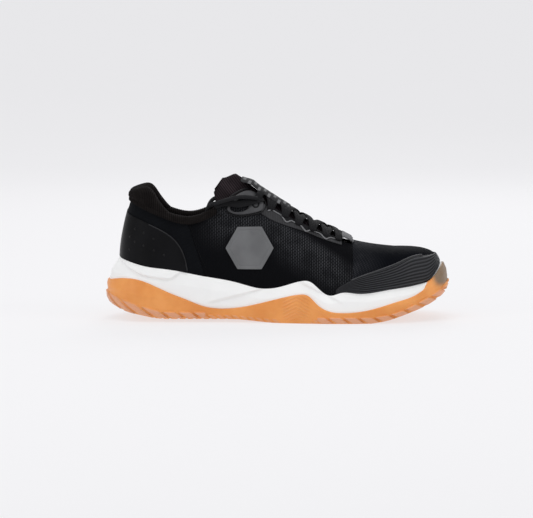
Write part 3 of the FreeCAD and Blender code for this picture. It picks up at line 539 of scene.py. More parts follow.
def toeMeshMaterial():
    # close vertical ribs of the toe box
    material, tree, shader = startMaterial("ribbedToeMesh", (0.01, 0.011, 0.014), 0.8, 0.04, IOR=1.2)
    cloth = clothPlace(tree)
    rib = placeGroup(tree, ribRows, cloth, Pitch=1.25, Lean=0.0)
    dash = placeGroup(tree, dashRows, cloth, Pitch=1.25, Length=1.6, Duty=0.5, Fill=0.6)
    grain = placeGroup(tree, surfaceGrain, cloth, Fine=2.0, Slow=0.07)
    tint = tintOf(tree)
    glow = maths(tree, "MULTIPLY", dash["Dash"], spread(tree, grain["Mottle"], 0.35, 0.65, 0.5, 1.0))
    base = blendColors(tree, rib["Rib"], (0.0016, 0.0018, 0.0025), (0.006, 0.0067, 0.009))
    color = blendColors(tree, maths(tree, "MULTIPLY", glow, tint), base, (0.075, 0.077, 0.086))
    tree.links.new(color, shader.inputs["Base Color"])
    tree.links.new(spread(tree, rib["Rib"], 0.0, 1.0, 0.75, 0.5), shader.inputs["Roughness"])
    raiseSurface(tree, shader, maths(tree, "ADD", rib["Rib"], maths(tree, "MULTIPLY", dash["Dash"], 0.4)), 0.5, 0.0003)
    return material


def rearMeshMaterial():
    material, tree, shader = startMaterial("dottedMesh", (0.008, 0.009, 0.012), 0.66, 0.1, IOR=1.3)
    cloth = clothPlace(tree)
    dot = placeGroup(tree, dotNet, cloth, Pitch=1.1, Size=0.45)
    grain = placeGroup(tree, surfaceGrain, cloth, Fine=2.2, Slow=0.08)
    lit = maths(tree, "MULTIPLY", dot["Dot"], spread(tree, grain["Mottle"], 0.3, 0.7, 0.5, 1.0))
    color = blendColors(tree, lit, (0.003, 0.0033, 0.0042), (0.013, 0.015, 0.019))
    dressSurface(tree, shader, color, grain["Grain"], 0.58, 0.72, dot["Dot"], 0.4, 0.0002)
    return material


def filmMaterial(name, dark, light, rough, stripePitch=None, stripeLean=0.0, bumpy=0.08, coat=0.0, gloss=0.16,
                 ribbed=False):
    # welded film: satin skin with faint mottling, and pressed lines where a pitch is given
    material, tree, shader = startMaterial(name, dark, rough, gloss, Coat_Weight=coat)
    where = objectPlace(tree)
    grain = placeGroup(tree, surfaceGrain, where, Fine=2.6, Slow=0.05)
    part = spread(tree, grain["Mottle"], 0.3, 0.7)
    height = grain["Grain"]
    if ribbed:
        part = tintOf(tree)
    if stripePitch:
        rib = placeGroup(tree, ribRows, where, Pitch=stripePitch, Lean=stripeLean)
        part = maths(tree, "MULTIPLY", maths(tree, "ADD", part, rib["Rib"]), 0.5)
        height = maths(tree, "ADD", rib["Rib"], maths(tree, "MULTIPLY", grain["Grain"], 0.3))
    color = blendColors(tree, part, dark, light)
    dressSurface(tree, shader, color, grain["Grain"], rough - 0.05, rough + 0.07, height, bumpy * 4, 0.0002)
    return material


def knitMaterial(name, dark, light, pitch, lean, onCloth=True, turn=0.0, depth=0.6):
    # ribbed knit with a looped, slightly hairy thread
    material, tree, shader = startMaterial(name, dark, 0.85, 0.06, Sheen_Weight=0.008, IOR=1.25)
    shader.inputs["Sheen Roughness"].default_value = 0.5
    where = clothPlace(tree, turn) if onCloth else objectPlace(tree, (math.radians(90), 0, turn))
    rib = placeGroup(tree, ribRows, where, Pitch=pitch, Lean=lean)
    loops = placeGroup(tree, dotNet, where, Pitch=pitch * 0.5, Size=0.7)
    grain = placeGroup(tree, surfaceGrain, where, Fine=2.5, Slow=0.1)
    part = maths(tree, "MULTIPLY", rib["Rib"], spread(tree, grain["Mottle"], 0.3, 0.7, 0.55, 1.0))
    height = maths(tree, "ADD", rib["Rib"], maths(tree, "MULTIPLY", loops["Dot"], 0.35))
    dressSurface(tree, shader, blendColors(tree, part, dark, light), grain["Grain"], 0.78, 0.92, height, depth)
    return material


def webbingMaterial(name, dark, light, pitch):
    # woven tape: warp ribs along it, broken by the weft
    material, tree, shader = startMaterial(name, dark, 0.75, 0.1, Sheen_Weight=0.02)
    where = clothPlace(tree)
    dash = placeGroup(tree, dashRows, where, Pitch=pitch, Length=pitch * 1.5, Duty=0.62, Fill=0.72)
    grain = placeGroup(tree, surfaceGrain, where, Fine=2.5, Slow=0.12)
    part = maths(tree, "MULTIPLY", dash["Dash"], spread(tree, grain["Grain"], 0.3, 0.7, 0.7, 1.0))
    color = blendColors(tree, part, dark, light)
    dressSurface(tree, shader, color, grain["Grain"], 0.66, 0.82, dash["Dash"], 0.55, 0.0003)
    return material


def labelMaterial():
    # woven label: dark tape with a plain broken band of light thread across it
    material, tree, shader = startMaterial("wovenLabel", (0.02, 0.02, 0.021), 0.7, 0.12, Sheen_Weight=0.02)
    cloth = clothPlace(tree)
    weave = placeGroup(tree, dashRows, cloth, Pitch=0.5, Length=0.9, Duty=0.6, Fill=0.7)
    bars = placeGroup(tree, dashRows, cloth, Pitch=4.4, Length=9.0, Duty=0.5, Fill=0.62)
    grain = placeGroup(tree, surfaceGrain, cloth, Fine=2.0, Slow=0.2)
    base = blendColors(tree, weave["Dash"], (0.012, 0.012, 0.013), (0.05, 0.05, 0.052))
    light = maths(tree, "MULTIPLY", bars["Dash"], spread(tree, grain["Grain"], 0.3, 0.7, 0.55, 1.0))
    color = blendColors(tree, light, base, (0.20, 0.20, 0.205))
    dressSurface(tree, shader, color, grain["Grain"], 0.6, 0.78, weave["Dash"], 0.45, 0.0002)
    return material


def foamMaterial(name, dark, light, pore):
    material, tree, shader = startMaterial(name, dark, 0.9, 0.1)
    where = objectPlace(tree)
    cells = tree.nodes.new("ShaderNodeTexVoronoi")
    cells.inputs["Scale"].default_value = pore
    tree.links.new(where, cells.inputs["Vector"])
    grain = placeGroup(tree, surfaceGrain, where, Fine=2.0, Slow=0.08)
    color = blendColors(tree, spread(tree, cells.outputs["Distance"], 0.1, 0.6), dark, light)
    dressSurface(tree, shader, color, grain["Grain"], 0.8, 0.95, cells.outputs["Distance"], 0.5, 0.0003)
    return material


gumRubber = gumMaterial()
mouldedFoam = midsoleMaterial()
stripedMesh = frontMeshMaterial()
ribbedToeMesh = toeMeshMaterial()
dottedMesh = rearMeshMaterial()
heelFilm = filmMaterial("satinFilm", (0.003, 0.003, 0.0036), (0.005, 0.005, 0.006), 0.42, None, 0.0, 0.08, 0.0, 0.09)
# heel film's raised edge strip: its lighter grey is a painted highlight along the edge
filmEdgePaintedHighlight = filmMaterial("filmEdgePaintedHighlight", (0.014, 0.014, 0.015), (0.024, 0.024, 0.026), 0.45)
guardFilm = filmMaterial("guardFilm", (0.012, 0.0122, 0.0135), (0.050, 0.051, 0.056), 0.5, ribbed=True)
stayFilm = filmMaterial("stripedStay", (0.010, 0.010, 0.011), (0.050, 0.050, 0.053), 0.5, 1.5)
plateFilm = filmMaterial("greyPlate", (0.055, 0.055, 0.058), (0.085, 0.085, 0.089), 0.36)
emblemFilm = filmMaterial("greyEmblem", (0.13, 0.132, 0.136), (0.165, 0.167, 0.172), 0.42)
pipingFilm = filmMaterial("blackPiping", (0.004, 0.004, 0.0045), (0.007, 0.007, 0.008), 0.35)
glossPatch = filmMaterial("glossPatch", (0.012, 0.012, 0.013), (0.03, 0.03, 0.032), 0.2, None, 0.0, 0.04, 0.4)
sleevePlastic = filmMaterial("hardSleeve", (0.006, 0.006, 0.006), (0.012, 0.012, 0.013), 0.22, None, 0.0, 0.03, 0.3)
collarKnit = knitMaterial("collarKnit", (0.003, 0.0025, 0.0025), (0.017, 0.0145, 0.014), 1.7, 0.0)
tongueKnit = knitMaterial("tongueKnit", (0.005, 0.004, 0.0045), (0.040, 0.030, 0.034), 1.8, 0.0, False,
                          math.radians(38))
liningCloth = knitMaterial("liningCloth", (0.002, 0.002, 0.0022), (0.007, 0.007, 0.008), 0.8, 0.0, False, 0.0, 0.3)
insoleCloth = knitMaterial("insoleCloth", (0.006, 0.006, 0.007), (0.022, 0.022, 0.025), 1.0, 0.0, False, 0.4, 0.3)
blackWebbing = webbingMaterial("blackWebbing", (0.004, 0.004, 0.0045), (0.022, 0.022, 0.024), 0.8)
laceCloth = webbingMaterial("laceCloth", (0.003, 0.003, 0.0035), (0.020, 0.020, 0.022), 0.7)
paleTrim = webbingMaterial("paleTrim", (0.10, 0.10, 0.105), (0.36, 0.36, 0.37), 0.5)
tabWebbing = webbingMaterial("tabWebbing", (0.08, 0.08, 0.083), (0.30, 0.30, 0.31), 0.7)
threadBlack = webbingMaterial("blackThread", (0.006, 0.006, 0.0065), (0.03, 0.03, 0.032), 0.3)
boardFelt = foamMaterial("boardFelt", (0.42, 0.40, 0.36), (0.60, 0.58, 0.53), 1.4)
paddingFoam = foamMaterial("paddingFoam", (0.05, 0.05, 0.055), (0.12, 0.12, 0.125), 1.8)
insoleFoam = foamMaterial("insoleFoam", (0.02, 0.02, 0.022), (0.05, 0.05, 0.055), 1.8)
stiffSheet = foamMaterial("stiffSheet", (0.40, 0.39, 0.36), (0.50, 0.49, 0.46), 0.6)
woven = labelMaterial()
print("materials made")

# CAD nodes whose shape stays get the real finish
keptNodes = {
    "strobel_board": boardFelt, "insole_foam": insoleFoam, "insole_top_cloth": insoleCloth, "heel_film": heelFilm,
    "heel_counter": stiffSheet, "collar_foam": paddingFoam,
    "quarter_lining_lateral": liningCloth, "quarter_lining_medial": liningCloth, "toe_lining": liningCloth,
    "toe_puff": stiffSheet, "throat_patch": glossPatch, "aglet_lateral": sleevePlastic, "aglet_medial": sleevePlastic,
}
for nodeName, material in keptNodes.items():
    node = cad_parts[nodeName]
    if not node.material_slots:
        node.data.materials.append(material)
    for nodeSlot in node.material_slots:
        nodeSlot.material = material


# camera, floor and light
studio = {"aimX": -9.5, "aimZ": 51.0, "distance": 2.4, "rise": 6.0, "lens": 184.0, "floorReach": 1.6, "wallHeight": 2.4,
          "curve": 0.9}


def areaLight(name, place, aim, size, power):
    light = bpy.data.lights.new(name, "AREA")
    light.shape = "DISK"
    light.size = size
    light.energy = power
    holder = bpy.data.objects.new(name, light)
    holder.location = place
    holder.rotation_euler = (Vector(aim) - Vector(place)).to_track_quat("-Z", "Y").to_euler()
    bpy.context.collection.objects.link(holder)


def makeStudio():
    aim = Vector((studio["aimX"], shoe["shiftY"], studio["aimZ"])) * millimetre
    rise = math.radians(studio["rise"])
    camera = bpy.data.objects.new("camera", bpy.data.cameras.new("camera"))
    camera.data.lens = studio["lens"]
    camera.data.sensor_width = 36
    camera.data.clip_end = 60
    camera.location = aim + Vector((0, -math.cos(rise), math.sin(rise))) * studio["distance"]
    camera.rotation_euler = (aim - camera.location).to_track_quat("-Z", "Y").to_euler()
    bpy.context.collection.objects.link(camera)
    bpy.context.scene.camera = camera

    # one sweep of paper: the floor runs back and curves up into the wall
    bm = bmesh.new()
    bmesh.ops.create_grid(bm, x_segments=2, y_segments=40, size=1)
    straight, curve = studio["floorReach"], studio["curve"]
    for vert in bm.verts:
        run = (vert.co.y + 1) / 2 * (2 * straight + curve * math.pi / 2 + studio["wallHeight"])
        y, z = run - straight, 0.0
        if run > 2 * straight:
            turn = min((run - 2 * straight) / curve, math.pi / 2)
            y = straight + curve * math.sin(turn)
            z = curve * (1 - math.cos(turn)) + max(0, run - 2 * straight - curve * math.pi / 2)
        vert.co = (vert.co.x * 3.5, y, z)
    material, _, shader = startMaterial("paper", (0.25, 0.25, 0.253), 0.9, 0.1)
    shader.inputs["Emission Color"].default_value = (0.985, 0.98, 1, 1)
    shader.inputs["Emission Strength"].default_value = 0.645
    mesh = bpy.data.meshes.new("floor")
    bm.to_mesh(mesh)
    bm.free()
    mesh.polygons.foreach_set("use_smooth", [True] * len(mesh.polygons))
    floor = bpy.data.objects.new("floor", mesh)
    mesh.materials.append(material)
    bpy.context.collection.objects.link(floor)

    world = bpy.data.worlds.new("studio")
    world.use_nodes = True
    world.node_tree.nodes["Background"].inputs["Color"].default_value = (0.93, 0.94, 0.96, 1)
    world.node_tree.nodes["Background"].inputs["Strength"].default_value = 0.5
    bpy.context.scene.world = world
    areaLight("topSoftbox", (-0.1, -0.25, 1.5), (0, 0, 0.03), 1.5, 9)
    areaLight("leftSoftbox", (-1.5, -1.1, 0.8), (0, 0, 0.05), 0.9, 6.2)
    areaLight("rightSoftbox", (1.5, -0.7, 0.9), (0, 0, 0.05), 0.9, 5.4)
    areaLight("rimSoftbox", (0.2, 1.3, 1.0), (0, 0, 0.06), 0.8, 5)


makeStudio()
bpy.context.scene.view_settings.view_transform = "Standard"
print("camera, floor and lights")

# free lace ends: out of the top row, over the collar's edge and down inside the foot's room
laceEnds = {"diameter": 0.0036,
            "lateralPoints": [(-17, -19, 106), (-28.5, -23.5, 108.5), (-41, -29.5, 106.6), (-51, -32, 103.4),
                              (-58.5, -26, 101.2), (-62.5, -19, 90), (-61.5, -18.5, 78), (-54, -20, 66.5),
                              (-39, -22, 58.5), (-21, -25, 53), (-1, -28.5, 49.5), (19, -32.5, 46.5), (36, -35, 44.5)],
            "medialPoints": [(-17, 18.5, 106), (-28.5, 22.5, 108.5), (-41, 28, 106.6), (-51, 30.5, 103.6),
                             (-58.5, 24.5, 101.4), (-62.5, 18, 89.5), (-61, 17.5, 77), (-52.5, 18.5, 65), (-37, 20, 57),
                             (-18, 22, 52), (1, 23, 49), (19, 24.5, 47), (34, 25.5, 45.5)],
            "lateralLength": 0.178, "medialLength": 0.174}


def makeLaceEnd(side):
    route = [inFrame(Vector(point)) for point in laceEnds[side + "Points"]]
    line = bpy.data.curves.new("laceEnd_" + side, "CURVE")
    line.dimensions = "3D"
    line.resolution_u = 12
    line.bevel_depth = laceEnds["diameter"] / 2
    line.bevel_resolution = 4
    line.use_fill_caps = True
    spline = line.splines.new("NURBS")
    spline.points.add(len(route) - 1)
    for point, place in zip(spline.points, route):
        point.co = (*place, 1)
    spline.order_u = 3
    spline.use_endpoint_u = True
    end = bpy.data.objects.new("laceEnd_" + side, line)
    bpy.context.collection.objects.link(end)
    declarePiece(end, laceRound, "shoe", ["lace_end_" + side])


laceRound, tree, shader = startMaterial("laceRound", (0.006, 0.006, 0.0065), 0.8, 0.15, Sheen_Weight=0.02)
braid = placeGroup(tree, ribRows, objectPlace(tree), Pitch=0.9, Lean=0.7)
braidGrain = placeGroup(tree, surfaceGrain, objectPlace(tree), Fine=2.5, Slow=0.1)
braidColor = blendColors(tree, braid["Rib"], (0.003, 0.003, 0.0035), (0.02, 0.02, 0.022))
dressSurface(tree, shader, braidColor, braidGrain["Grain"], 0.7, 0.88, braid["Rib"], 0.5, 0.0003)
for side in ("lateral", "medial"):
    makeLaceEnd(side)
print("lace ends")

# sole unit: closed rings of points around the outline, from the middle of the bottom, up the wall and back inside
sole = {"columns": 760, "flare": 6.5, "heelFlare": 5.0, "lipStep": 1.2, "toeStep": 1.8, "wall": 2.6, "plate": 3.6,
        "tread": 1.6, "lug": 1.9, "rolled": 3.2}


def outlinePoint(side, girth, distance):
    lineX, lineY = outlines[side]
    alongX = lineX(girth + 0.5) - lineX(girth - 0.5)
    alongY = lineY(girth + 0.5) - lineY(girth - 0.5)
    alongX *= smoothStep(min(girth - shoe["heelEnd"], shoe["toeEnd"] - girth) / 2.5)
    size = math.hypot(alongX, alongY)
    turn = 1 if side == "outer" else -1
    return lineX(girth) + turn * alongY / size * distance, lineY(girth) - turn * alongX / size * distance


def soleGrow(level, x):
    # how far the wall stands outside the upper, from the ground (0) to the lip (1)
    heel = clamp((-102 - x) / 36, 0, 1)
    bulge = sole["flare"] + sole["heelFlare"] * heel
    step = sole["lipStep"] + sole["toeStep"] * clamp((x - 117) / 21, 0, 1)
    shape = [(0, 0.45), (0.18, 0.85), (0.45, 1.0), (0.75, 0.72), (1.0, 0)]
    level = clamp(level, 0, 1)
    for low, high in zip(shape, shape[1:]):
        if level <= high[0]:
            part = (level - low[0]) / (high[0] - low[0])
            return step + (bulge - step) * mix(low[1], high[1], part)
    return step


def aroundSole(a):
    length = shoe["toeEnd"] - shoe["heelEnd"]
    if a <= 0.5:
        return "outer", shoe["heelEnd"] + 2 * a * length
    return "inner", shoe["toeEnd"] - (2 * a - 1) * length


def flatGround(x):
    return max(0, lines["ground"](x))


def edgeLift(x):
    # the rear tread rolls up toward its rim
    return sole["rolled"] * smoothStep((5 - x) / 50)


def soleSpot(side, girth, height, inward, relief=0.0):
    # a point of the sole's wall at a height
    edgeX = outlinePoint(side, girth, 0)[0]
    ground, lip = lines["ground"](edgeX), lines["lip"](edgeX)
    grow = soleGrow((height - ground) / (lip - ground), edgeX)
    x, y = outlinePoint(side, girth, grow - inward + relief)
    return Vector((x, y, height))


def bandTop(side, girth):
    spot = soleSpot(side, girth, lines["band"](outlinePoint(side, girth, 0)[0]), 0)
    top = lines["band"](clamp(spot.x, -148, 148))
    edgeX = outlinePoint(side, girth, 0)[0]
    return clamp(top, lines["ground"](edgeX) + 2.5, lines["lip"](edgeX))


def towardMiddle(spot, girth, part):
    centreX = clamp(girth, shoe["heelCentre"] + 8, shoe["toeCentre"] - 4)
    centre = Vector((centreX, lines["ridgeSide"](clamp(centreX, -102, 104)), spot.z))
    return centre.lerp(spot, part)


def treadDepth(x):
    for start, end, pitch in ((-108, -42, 7.0), (12, 78, 6.0)):
        if start - 0.5 < x < end:
            inGroove = (x - start) % pitch
            return sole["tread"] * smoothStep((1.0 - abs(inGroove - 1.0)) / 0.35)
    return 0.0


def lugPattern(side, girth, height, ground):
    # blocks along the edge of the wall, leaning forward; returns relief and how much of a block's face shows
    above = height - ground
    x = outlinePoint(side, girth, 0)[0]
    lean = girth + above * 1.5
    if x < -62 or 36 < x:
        tall = 6 + 5 * smoothStep((-92 - x) / 40) + 2 * smoothStep((x - 100) / 30)
        inBlock = (lean % 13) / 13
        face = smoothStep(min(inBlock - 0.04, 0.86 - inBlock) / 0.07) * smoothStep((tall - above) / 1.1)
        face *= smoothStep((above - 0.3) / 0.8)
        return face * sole["lug"], face
    if x < 4 or x > 30:
        inBlock = (lean % 7.0) / 7.0
        face = smoothStep(min(inBlock - 0.08, 0.8 - inBlock) / 0.12) * smoothStep((3.8 - above) / 0.8)
        return face * 0.7, face * 0.6
    # chevron ribs on the rise under the arch
    peak = abs(x - 17.5)
    wave = 0.5 + 0.5 * math.cos((height + peak * 0.55) * 2 * math.pi / 3.0)
    fade = smoothStep((13 - peak) / 4) * smoothStep((above - 1) / 2)
    return wave * fade * 0.75, wave * fade * 0.3


def makeOutsole():
    bottomRows, wallRows, rimRows, insideRows, plateRows = 24, 34, 2, 5, 5
    rows = bottomRows + wallRows + rimRows + insideRows + plateRows

    def place(a, b):
        side, girth = aroundSole(a)
        k = round(b * rows)
        edgeX = outlinePoint(side, girth, 0)[0]
        ground = flatGround(edgeX) + edgeLift(edgeX)
        top = bandTop(side, girth)
        tint = 0.0
        if k <= bottomRows:
            part = k / bottomRows
            spot = towardMiddle(soleSpot(side, girth, ground, 0), girth, part)
            spot.z = flatGround(clamp(spot.x, -148, 149)) + edgeLift(edgeX) * smoothStep((part - 0.42) / 0.58)
            spot.z += treadDepth(spot.x) * smoothStep((1 - part) / 0.05) if part > 0.9 else treadDepth(spot.x)
        elif k <= bottomRows + wallRows:
            part = (k - bottomRows) / wallRows
            height = mix(ground, top, part)
            relief, face = lugPattern(side, girth, height, ground)
            relief *= smoothStep((top - height) / 1.5)
            spot = soleSpot(side, girth, height, 0, relief)
            tint = face - 1.6 * smoothStep((spot.x - 132) / 12) * smoothStep((height - 24) / 16)
        elif k <= bottomRows + wallRows + rimRows:
            part = (k - bottomRows - wallRows) / rimRows
            spot = soleSpot(side, girth, top, sole["wall"] * part)
            spot.z += 0.25 * math.sin(math.pi * part)
            tint = -1.6 * smoothStep((spot.x - 132) / 12) * smoothStep((top - 24) / 16)
        elif k <= rows - plateRows:
            part = (k - bottomRows - wallRows - rimRows) / insideRows
            height = mix(top, min(ground + sole["plate"], top - 0.5), part)
            spot = soleSpot(side, girth, height, sole["wall"])
        else:
            part = (rows - k) / plateRows
            height = min(ground + sole["plate"], top - 0.5)
            spot = towardMiddle(soleSpot(side, girth, height, sole["wall"]), girth, part)
            spot.z = max(flatGround(clamp(spot.x, -148, 149)) + sole["plate"] * 0.9, 0) if part < 1 else height
        return spot, (girth, spot.z), tint
    linkMesh("outsole_rubber", mappedGrid(sole["columns"], rows, place), gumRubber, "shoe", ["outsole"])


rearCrease = smoothLine([(-148, 60), (-140, 54.9), (-130, 47.8), (-112, 39), (-100, 37), (-93, 36.6), (-86, 40.8),
                         (-78, 50)])


def facet(x, height):
    # stepped and creased faces pressed into the foam's side
    rear = 2.2 * smoothStep((height - rearCrease(x)) / 1.6) * smoothStep((-79 - x) / 8)
    archCrease = 17 + (x + 55.8) * 0.258
    arch = 2.0 * smoothStep((height - archCrease) / 1.6) * smoothStep((x + 62) / 10) * smoothStep((-4 - x) / 14)
    foreCrease = 34.6 - (x - 20) * 0.49
    fore = 1.8 * smoothStep((height - foreCrease) / 2.4) * smoothStep((x - 14) / 10) * smoothStep((60 - x) / 12)
    return rear + arch + fore - 1.4


def makeMidsole():
    lowRows, hiddenRows, ledgeRows, wallRows, rimRows, cupRows, floorRows = 4, 4, 2, 26, 3, 5, 5
    rows = lowRows + hiddenRows + ledgeRows + wallRows + rimRows + cupRows + floorRows
    inset = sole["wall"] + 0.15

    def place(a, b):
        side, girth = aroundSole(a)
        k = round(b * rows)
        edgeX = outlinePoint(side, girth, 0)[0]
        ground, lip = flatGround(edgeX), lines["lip"](edgeX)
        top = bandTop(side, girth)
        start = min(ground + sole["plate"] + 0.1, top - 0.4)
        ledge = min(top + 0.1, lip - 0.2)
        if k <= lowRows:
            part = k / lowRows
            spot = towardMiddle(soleSpot(side, girth, start, inset), girth, part)
            if part < 1:
                spot.z = max(flatGround(clamp(spot.x, -148, 149)) + sole["plate"] + 0.1, 0)
        elif k <= lowRows + hiddenRows:
            spot = soleSpot(side, girth, mix(start, ledge, (k - lowRows) / hiddenRows), inset)
        elif k <= lowRows + hiddenRows + ledgeRows:
            part = (k - lowRows - hiddenRows) / ledgeRows
            spot = soleSpot(side, girth, ledge, inset * (1 - part), facet(edgeX, ledge) * part)
        elif k <= lowRows + hiddenRows + ledgeRows + wallRows:
            part = (k - lowRows - hiddenRows - ledgeRows) / wallRows
            height = mix(ledge, lip, part)
            round1 = 0.5 * smoothStep((part - 0.9) / 0.1)
            tall = smoothStep((lip - ledge) / 3)
            spot = soleSpot(side, girth, height, round1, facet(edgeX, height) * tall)
        elif k <= rows - floorRows - cupRows:
            part = (k - (rows - floorRows - cupRows - rimRows)) / rimRows
            grow = soleGrow(1, edgeX) + facet(edgeX, lip) * smoothStep((lip - ledge) / 3) - 0.5
            x, y = outlinePoint(side, girth, mix(grow, 0.1, part))
            spot = Vector((x, y, lip + 0.2 * math.sin(math.pi * part)))
        elif k <= rows - floorRows:
            part = (k - (rows - floorRows - cupRows)) / cupRows
            x, y = outlinePoint(side, girth, 0.1)
            floor = min(lines["floor"](clamp(x, -138, 144)), lip - 0.5)
            spot = Vector((x, y, mix(lip, floor, part)))
        else:
            part = (rows - k) / floorRows
            x, y = outlinePoint(side, girth, 0.1)
            spot = towardMiddle(Vector((x, y, lines["floor"](clamp(x, -138, 144)))), girth, part)
            spot.z = lines["floor"](clamp(spot.x, -138, 144))
        return spot, (girth, spot.z), 0.0
    linkMesh("midsole_foam", mappedGrid(sole["columns"], rows, place), mouldedFoam, "shoe", ["midsole"])


makeOutsole()
makeMidsole()
print("sole unit")

# upper: mesh panels, each a sheet on the shoe's surface with its wall turned inward
panels = {"seamTop": -78.9, "seamBottom": -58.5, "gap": 0.12, "columns": 110, "rows": 60}


def meshGlow(x, z):
    # how far the open stitches show: strongest in a band under the laces, gone near the sole and around the badge
    stayLine = 96.0 - 0.62 * (x + 10) if x > -10 else 96.0 - 0.1 * (x + 10)
    below = stayLine - z
    band = smoothStep((below + 4) / 8) * smoothStep((44 - below) / 30)
    ends = smoothStep((x + 74) / 30) * smoothStep((86 - x) / 40)
    badge = 1 - 0.75 * smoothStep((27 - math.hypot((x + 23.7) * 0.9, z - 60)) / 10)
    patch = 0.8 * smoothStep((14 - math.hypot(x + 30, z - 84)) / 8)
    return clamp(band * ends * badge + patch * 0.7, 0, 1)


def sheetOnShoe(name, columns, rows, spot, offset, thickness, material, replaces, tintOf=None):
    # spot(a, b) gives a girth and a share
    def place(a, b):
        girth, share = spot(a, b)
        point = awayFrom(girth, share, offset)
        tint = tintOf(point) if tintOf else 0.0
        return point, (girth, climb(girth, share)), tint
    piece = linkMesh(name, mappedGrid(columns, rows, place), material, "shoe", replaces, fromMiddle)
    addSolidify(piece, thickness)
    return piece


def makePanels():
    for side, sign in (("lateral", -1), ("medial", 1)):
        def rearSpot(a, b):
            seam = mix(panels["seamBottom"], panels["seamTop"], b) - panels["gap"]
            girth = mix(shoe["heelEnd"] + 0.06, seam, a)
            return girth, sign * mix(1.0, collarShare(girth), b)

        def quarterSpot(a, b):
            seam = mix(panels["seamBottom"], panels["seamTop"], b)
            girth = mix(seam, shoe["throatFront"] - panels["gap"], a)
            return girth, sign * mix(1.0, rimShare(girth), b)
        sheetOnShoe("rearMesh_" + side, 80, 40, rearSpot, 0, shoe["meshThickness"], dottedMesh,
                    ["rear_mesh_" + side])
        sheetOnShoe("quarterMesh_" + side, panels["columns"], panels["rows"], quarterSpot, 0, shoe["meshThickness"],
                    stripedMesh, ["quarter_mesh_" + side], lambda point: meshGlow(point.x, point.z))

    # the toe box in one piece over the dome, ending in a fan around the toe
    def place(a, b):
        across = 2 * b - 1
        straight = (shoe["toeCentre"] - shoe["throatFront"]) / 98
        if a <= straight:
            girth = mix(shoe["throatFront"], shoe["toeCentre"], a / straight)
            share = across
        else:
            ahead = (a - straight) / (1 - straight)
            deep = ahead * math.sqrt(1 - across ** 2 / 2)
            wide = across * math.sqrt(1 - ahead ** 2 / 2)
            turn = math.atan2(deep, abs(wide))
            girth = mix(shoe["toeCentre"], shoe["toeEnd"], turn / (math.pi / 2))
            share = math.copysign(max(math.hypot(deep, wide), 0.004), across)
        point = awayFrom(girth, share, 0)
        glow = smoothStep((100 - point.x) / 40) * 0.8
        return point, (point.x + 0.35 * abs(point.y), climb(girth, share)), glow
    toe = linkMesh("toeMesh", mappedGrid(100, 96, place), ribbedToeMesh, "shoe", ["toe_mesh"], fromMiddle)
    addSolidify(toe, shoe["meshThickness"])


makePanels()
print("mesh panels")

# overlays on the mesh
overlays = {"low": 0.06, "guardRibs": 9, "trimWidth": 1.3, "trimThickness": 0.7}


def baseShare(girth):
    # overlays start just above the midsole's lip
    x = clamp(outlines["outer"][0](girth), -138, 144)
    return shareAt(girth, lines["lip"](x) + 0.5)


def closedLine(points, steps):
    # even run of places along a smooth closed line through the points
    count = len(points)
    out = []
    for k in range(steps):
        place = k / steps * count
        i, t = int(place), place - int(place)
        before, here, after, beyond = (points[(i + j - 1) % count] for j in range(4))
        out.append(tuple(0.5 * (2 * h + (n - b) * t + (2 * b - 5 * h + 4 * n - y) * t ** 2
                                + (3 * h - b - 3 * n + y) * t ** 3)
                         for b, h, n, y in zip(before, here, after, beyond)))
    return out


def openLine(points, steps):
    # smooth line through the points, first to last
    lengths = [0.0]
    for before, after in zip(points, points[1:]):
        lengths.append(lengths[-1] + math.dist(before, after))
    tracks = [smoothLine(list(zip(lengths, values))) for values in zip(*points)]
    return [tuple(track(lengths[-1] * k / steps) for track in tracks) for k in range(steps + 1)]


def bandOnShoe(name, places, side, offset, width, thickness, material, replaces=(), steps=80):
    # a narrow strap along places given as forward and height, on one side of the shoe
    sign = -1 if side == "lateral" else 1
    points, normals = [], []
    for x, z in openLine(places, steps):
        share = sign * shareAt(x, z)
        points.append(awayFrom(x, share, offset))
        normals.append(surfaceNormal(x, share))
    return sweptBand(name, points, normals, width, thickness, material, "shoe", replaces, 2.4)


guardTop = smoothLine([(48, 27), (57, 33), (69, 38.5), (84, 43.5), (104.1, 50), (120, 54.5), (141, 56), (164.1, 56)])


def makeToeGuard():
    # flowing ribs that run together where the guard thins out at the sole
    def place(a, b):
        turned = 2 * a - 1
        start = 51 if turned < 0 else 69
        length = shoe["toeEnd"] - start
        girth = shoe["toeEnd"] - abs(turned) * length
        base = baseShare(girth)
        share = mix(base, min(shareAt(girth, guardTop(girth)), base - 0.03), b)
        wave = 0.30 * math.sin(girth / 17.0 + b * 2.2) + 0.16 * math.sin(girth / 7.3 + 1.0)
        rib = 0.5 + 0.5 * math.cos(2 * math.pi * (b * overlays["guardRibs"] + wave))
        full = smoothStep((girth - start) / 20)
        edge = smoothStep(min(b, 1 - b) / 0.05)
        thick = 0.25 + (0.3 + 0.85 * rib ** 1.4) * edge * mix(0.35, 1.0, full)
        spot = aroundToe(math.copysign(shoe["toeEnd"] - girth, turned), share, overlays["low"] + thick)
        return spot, (girth, climb(girth, share)), rib
    rows = 110
    guard = linkMesh("toeGuard", mappedGrid(300, rows, place), guardFilm, "shoe", ["toe_guard"], fromMiddle)
    addSolidify(guard, 0.28)
    for side in ("lateral", "medial"):
        bandOnShoe("guardPiping_" + side, [(x, guardTop(x) + 0.4) for x in range(64, 137, 8)], side, 1.0, 1.1, 0.8,
                   plateFilm, ())


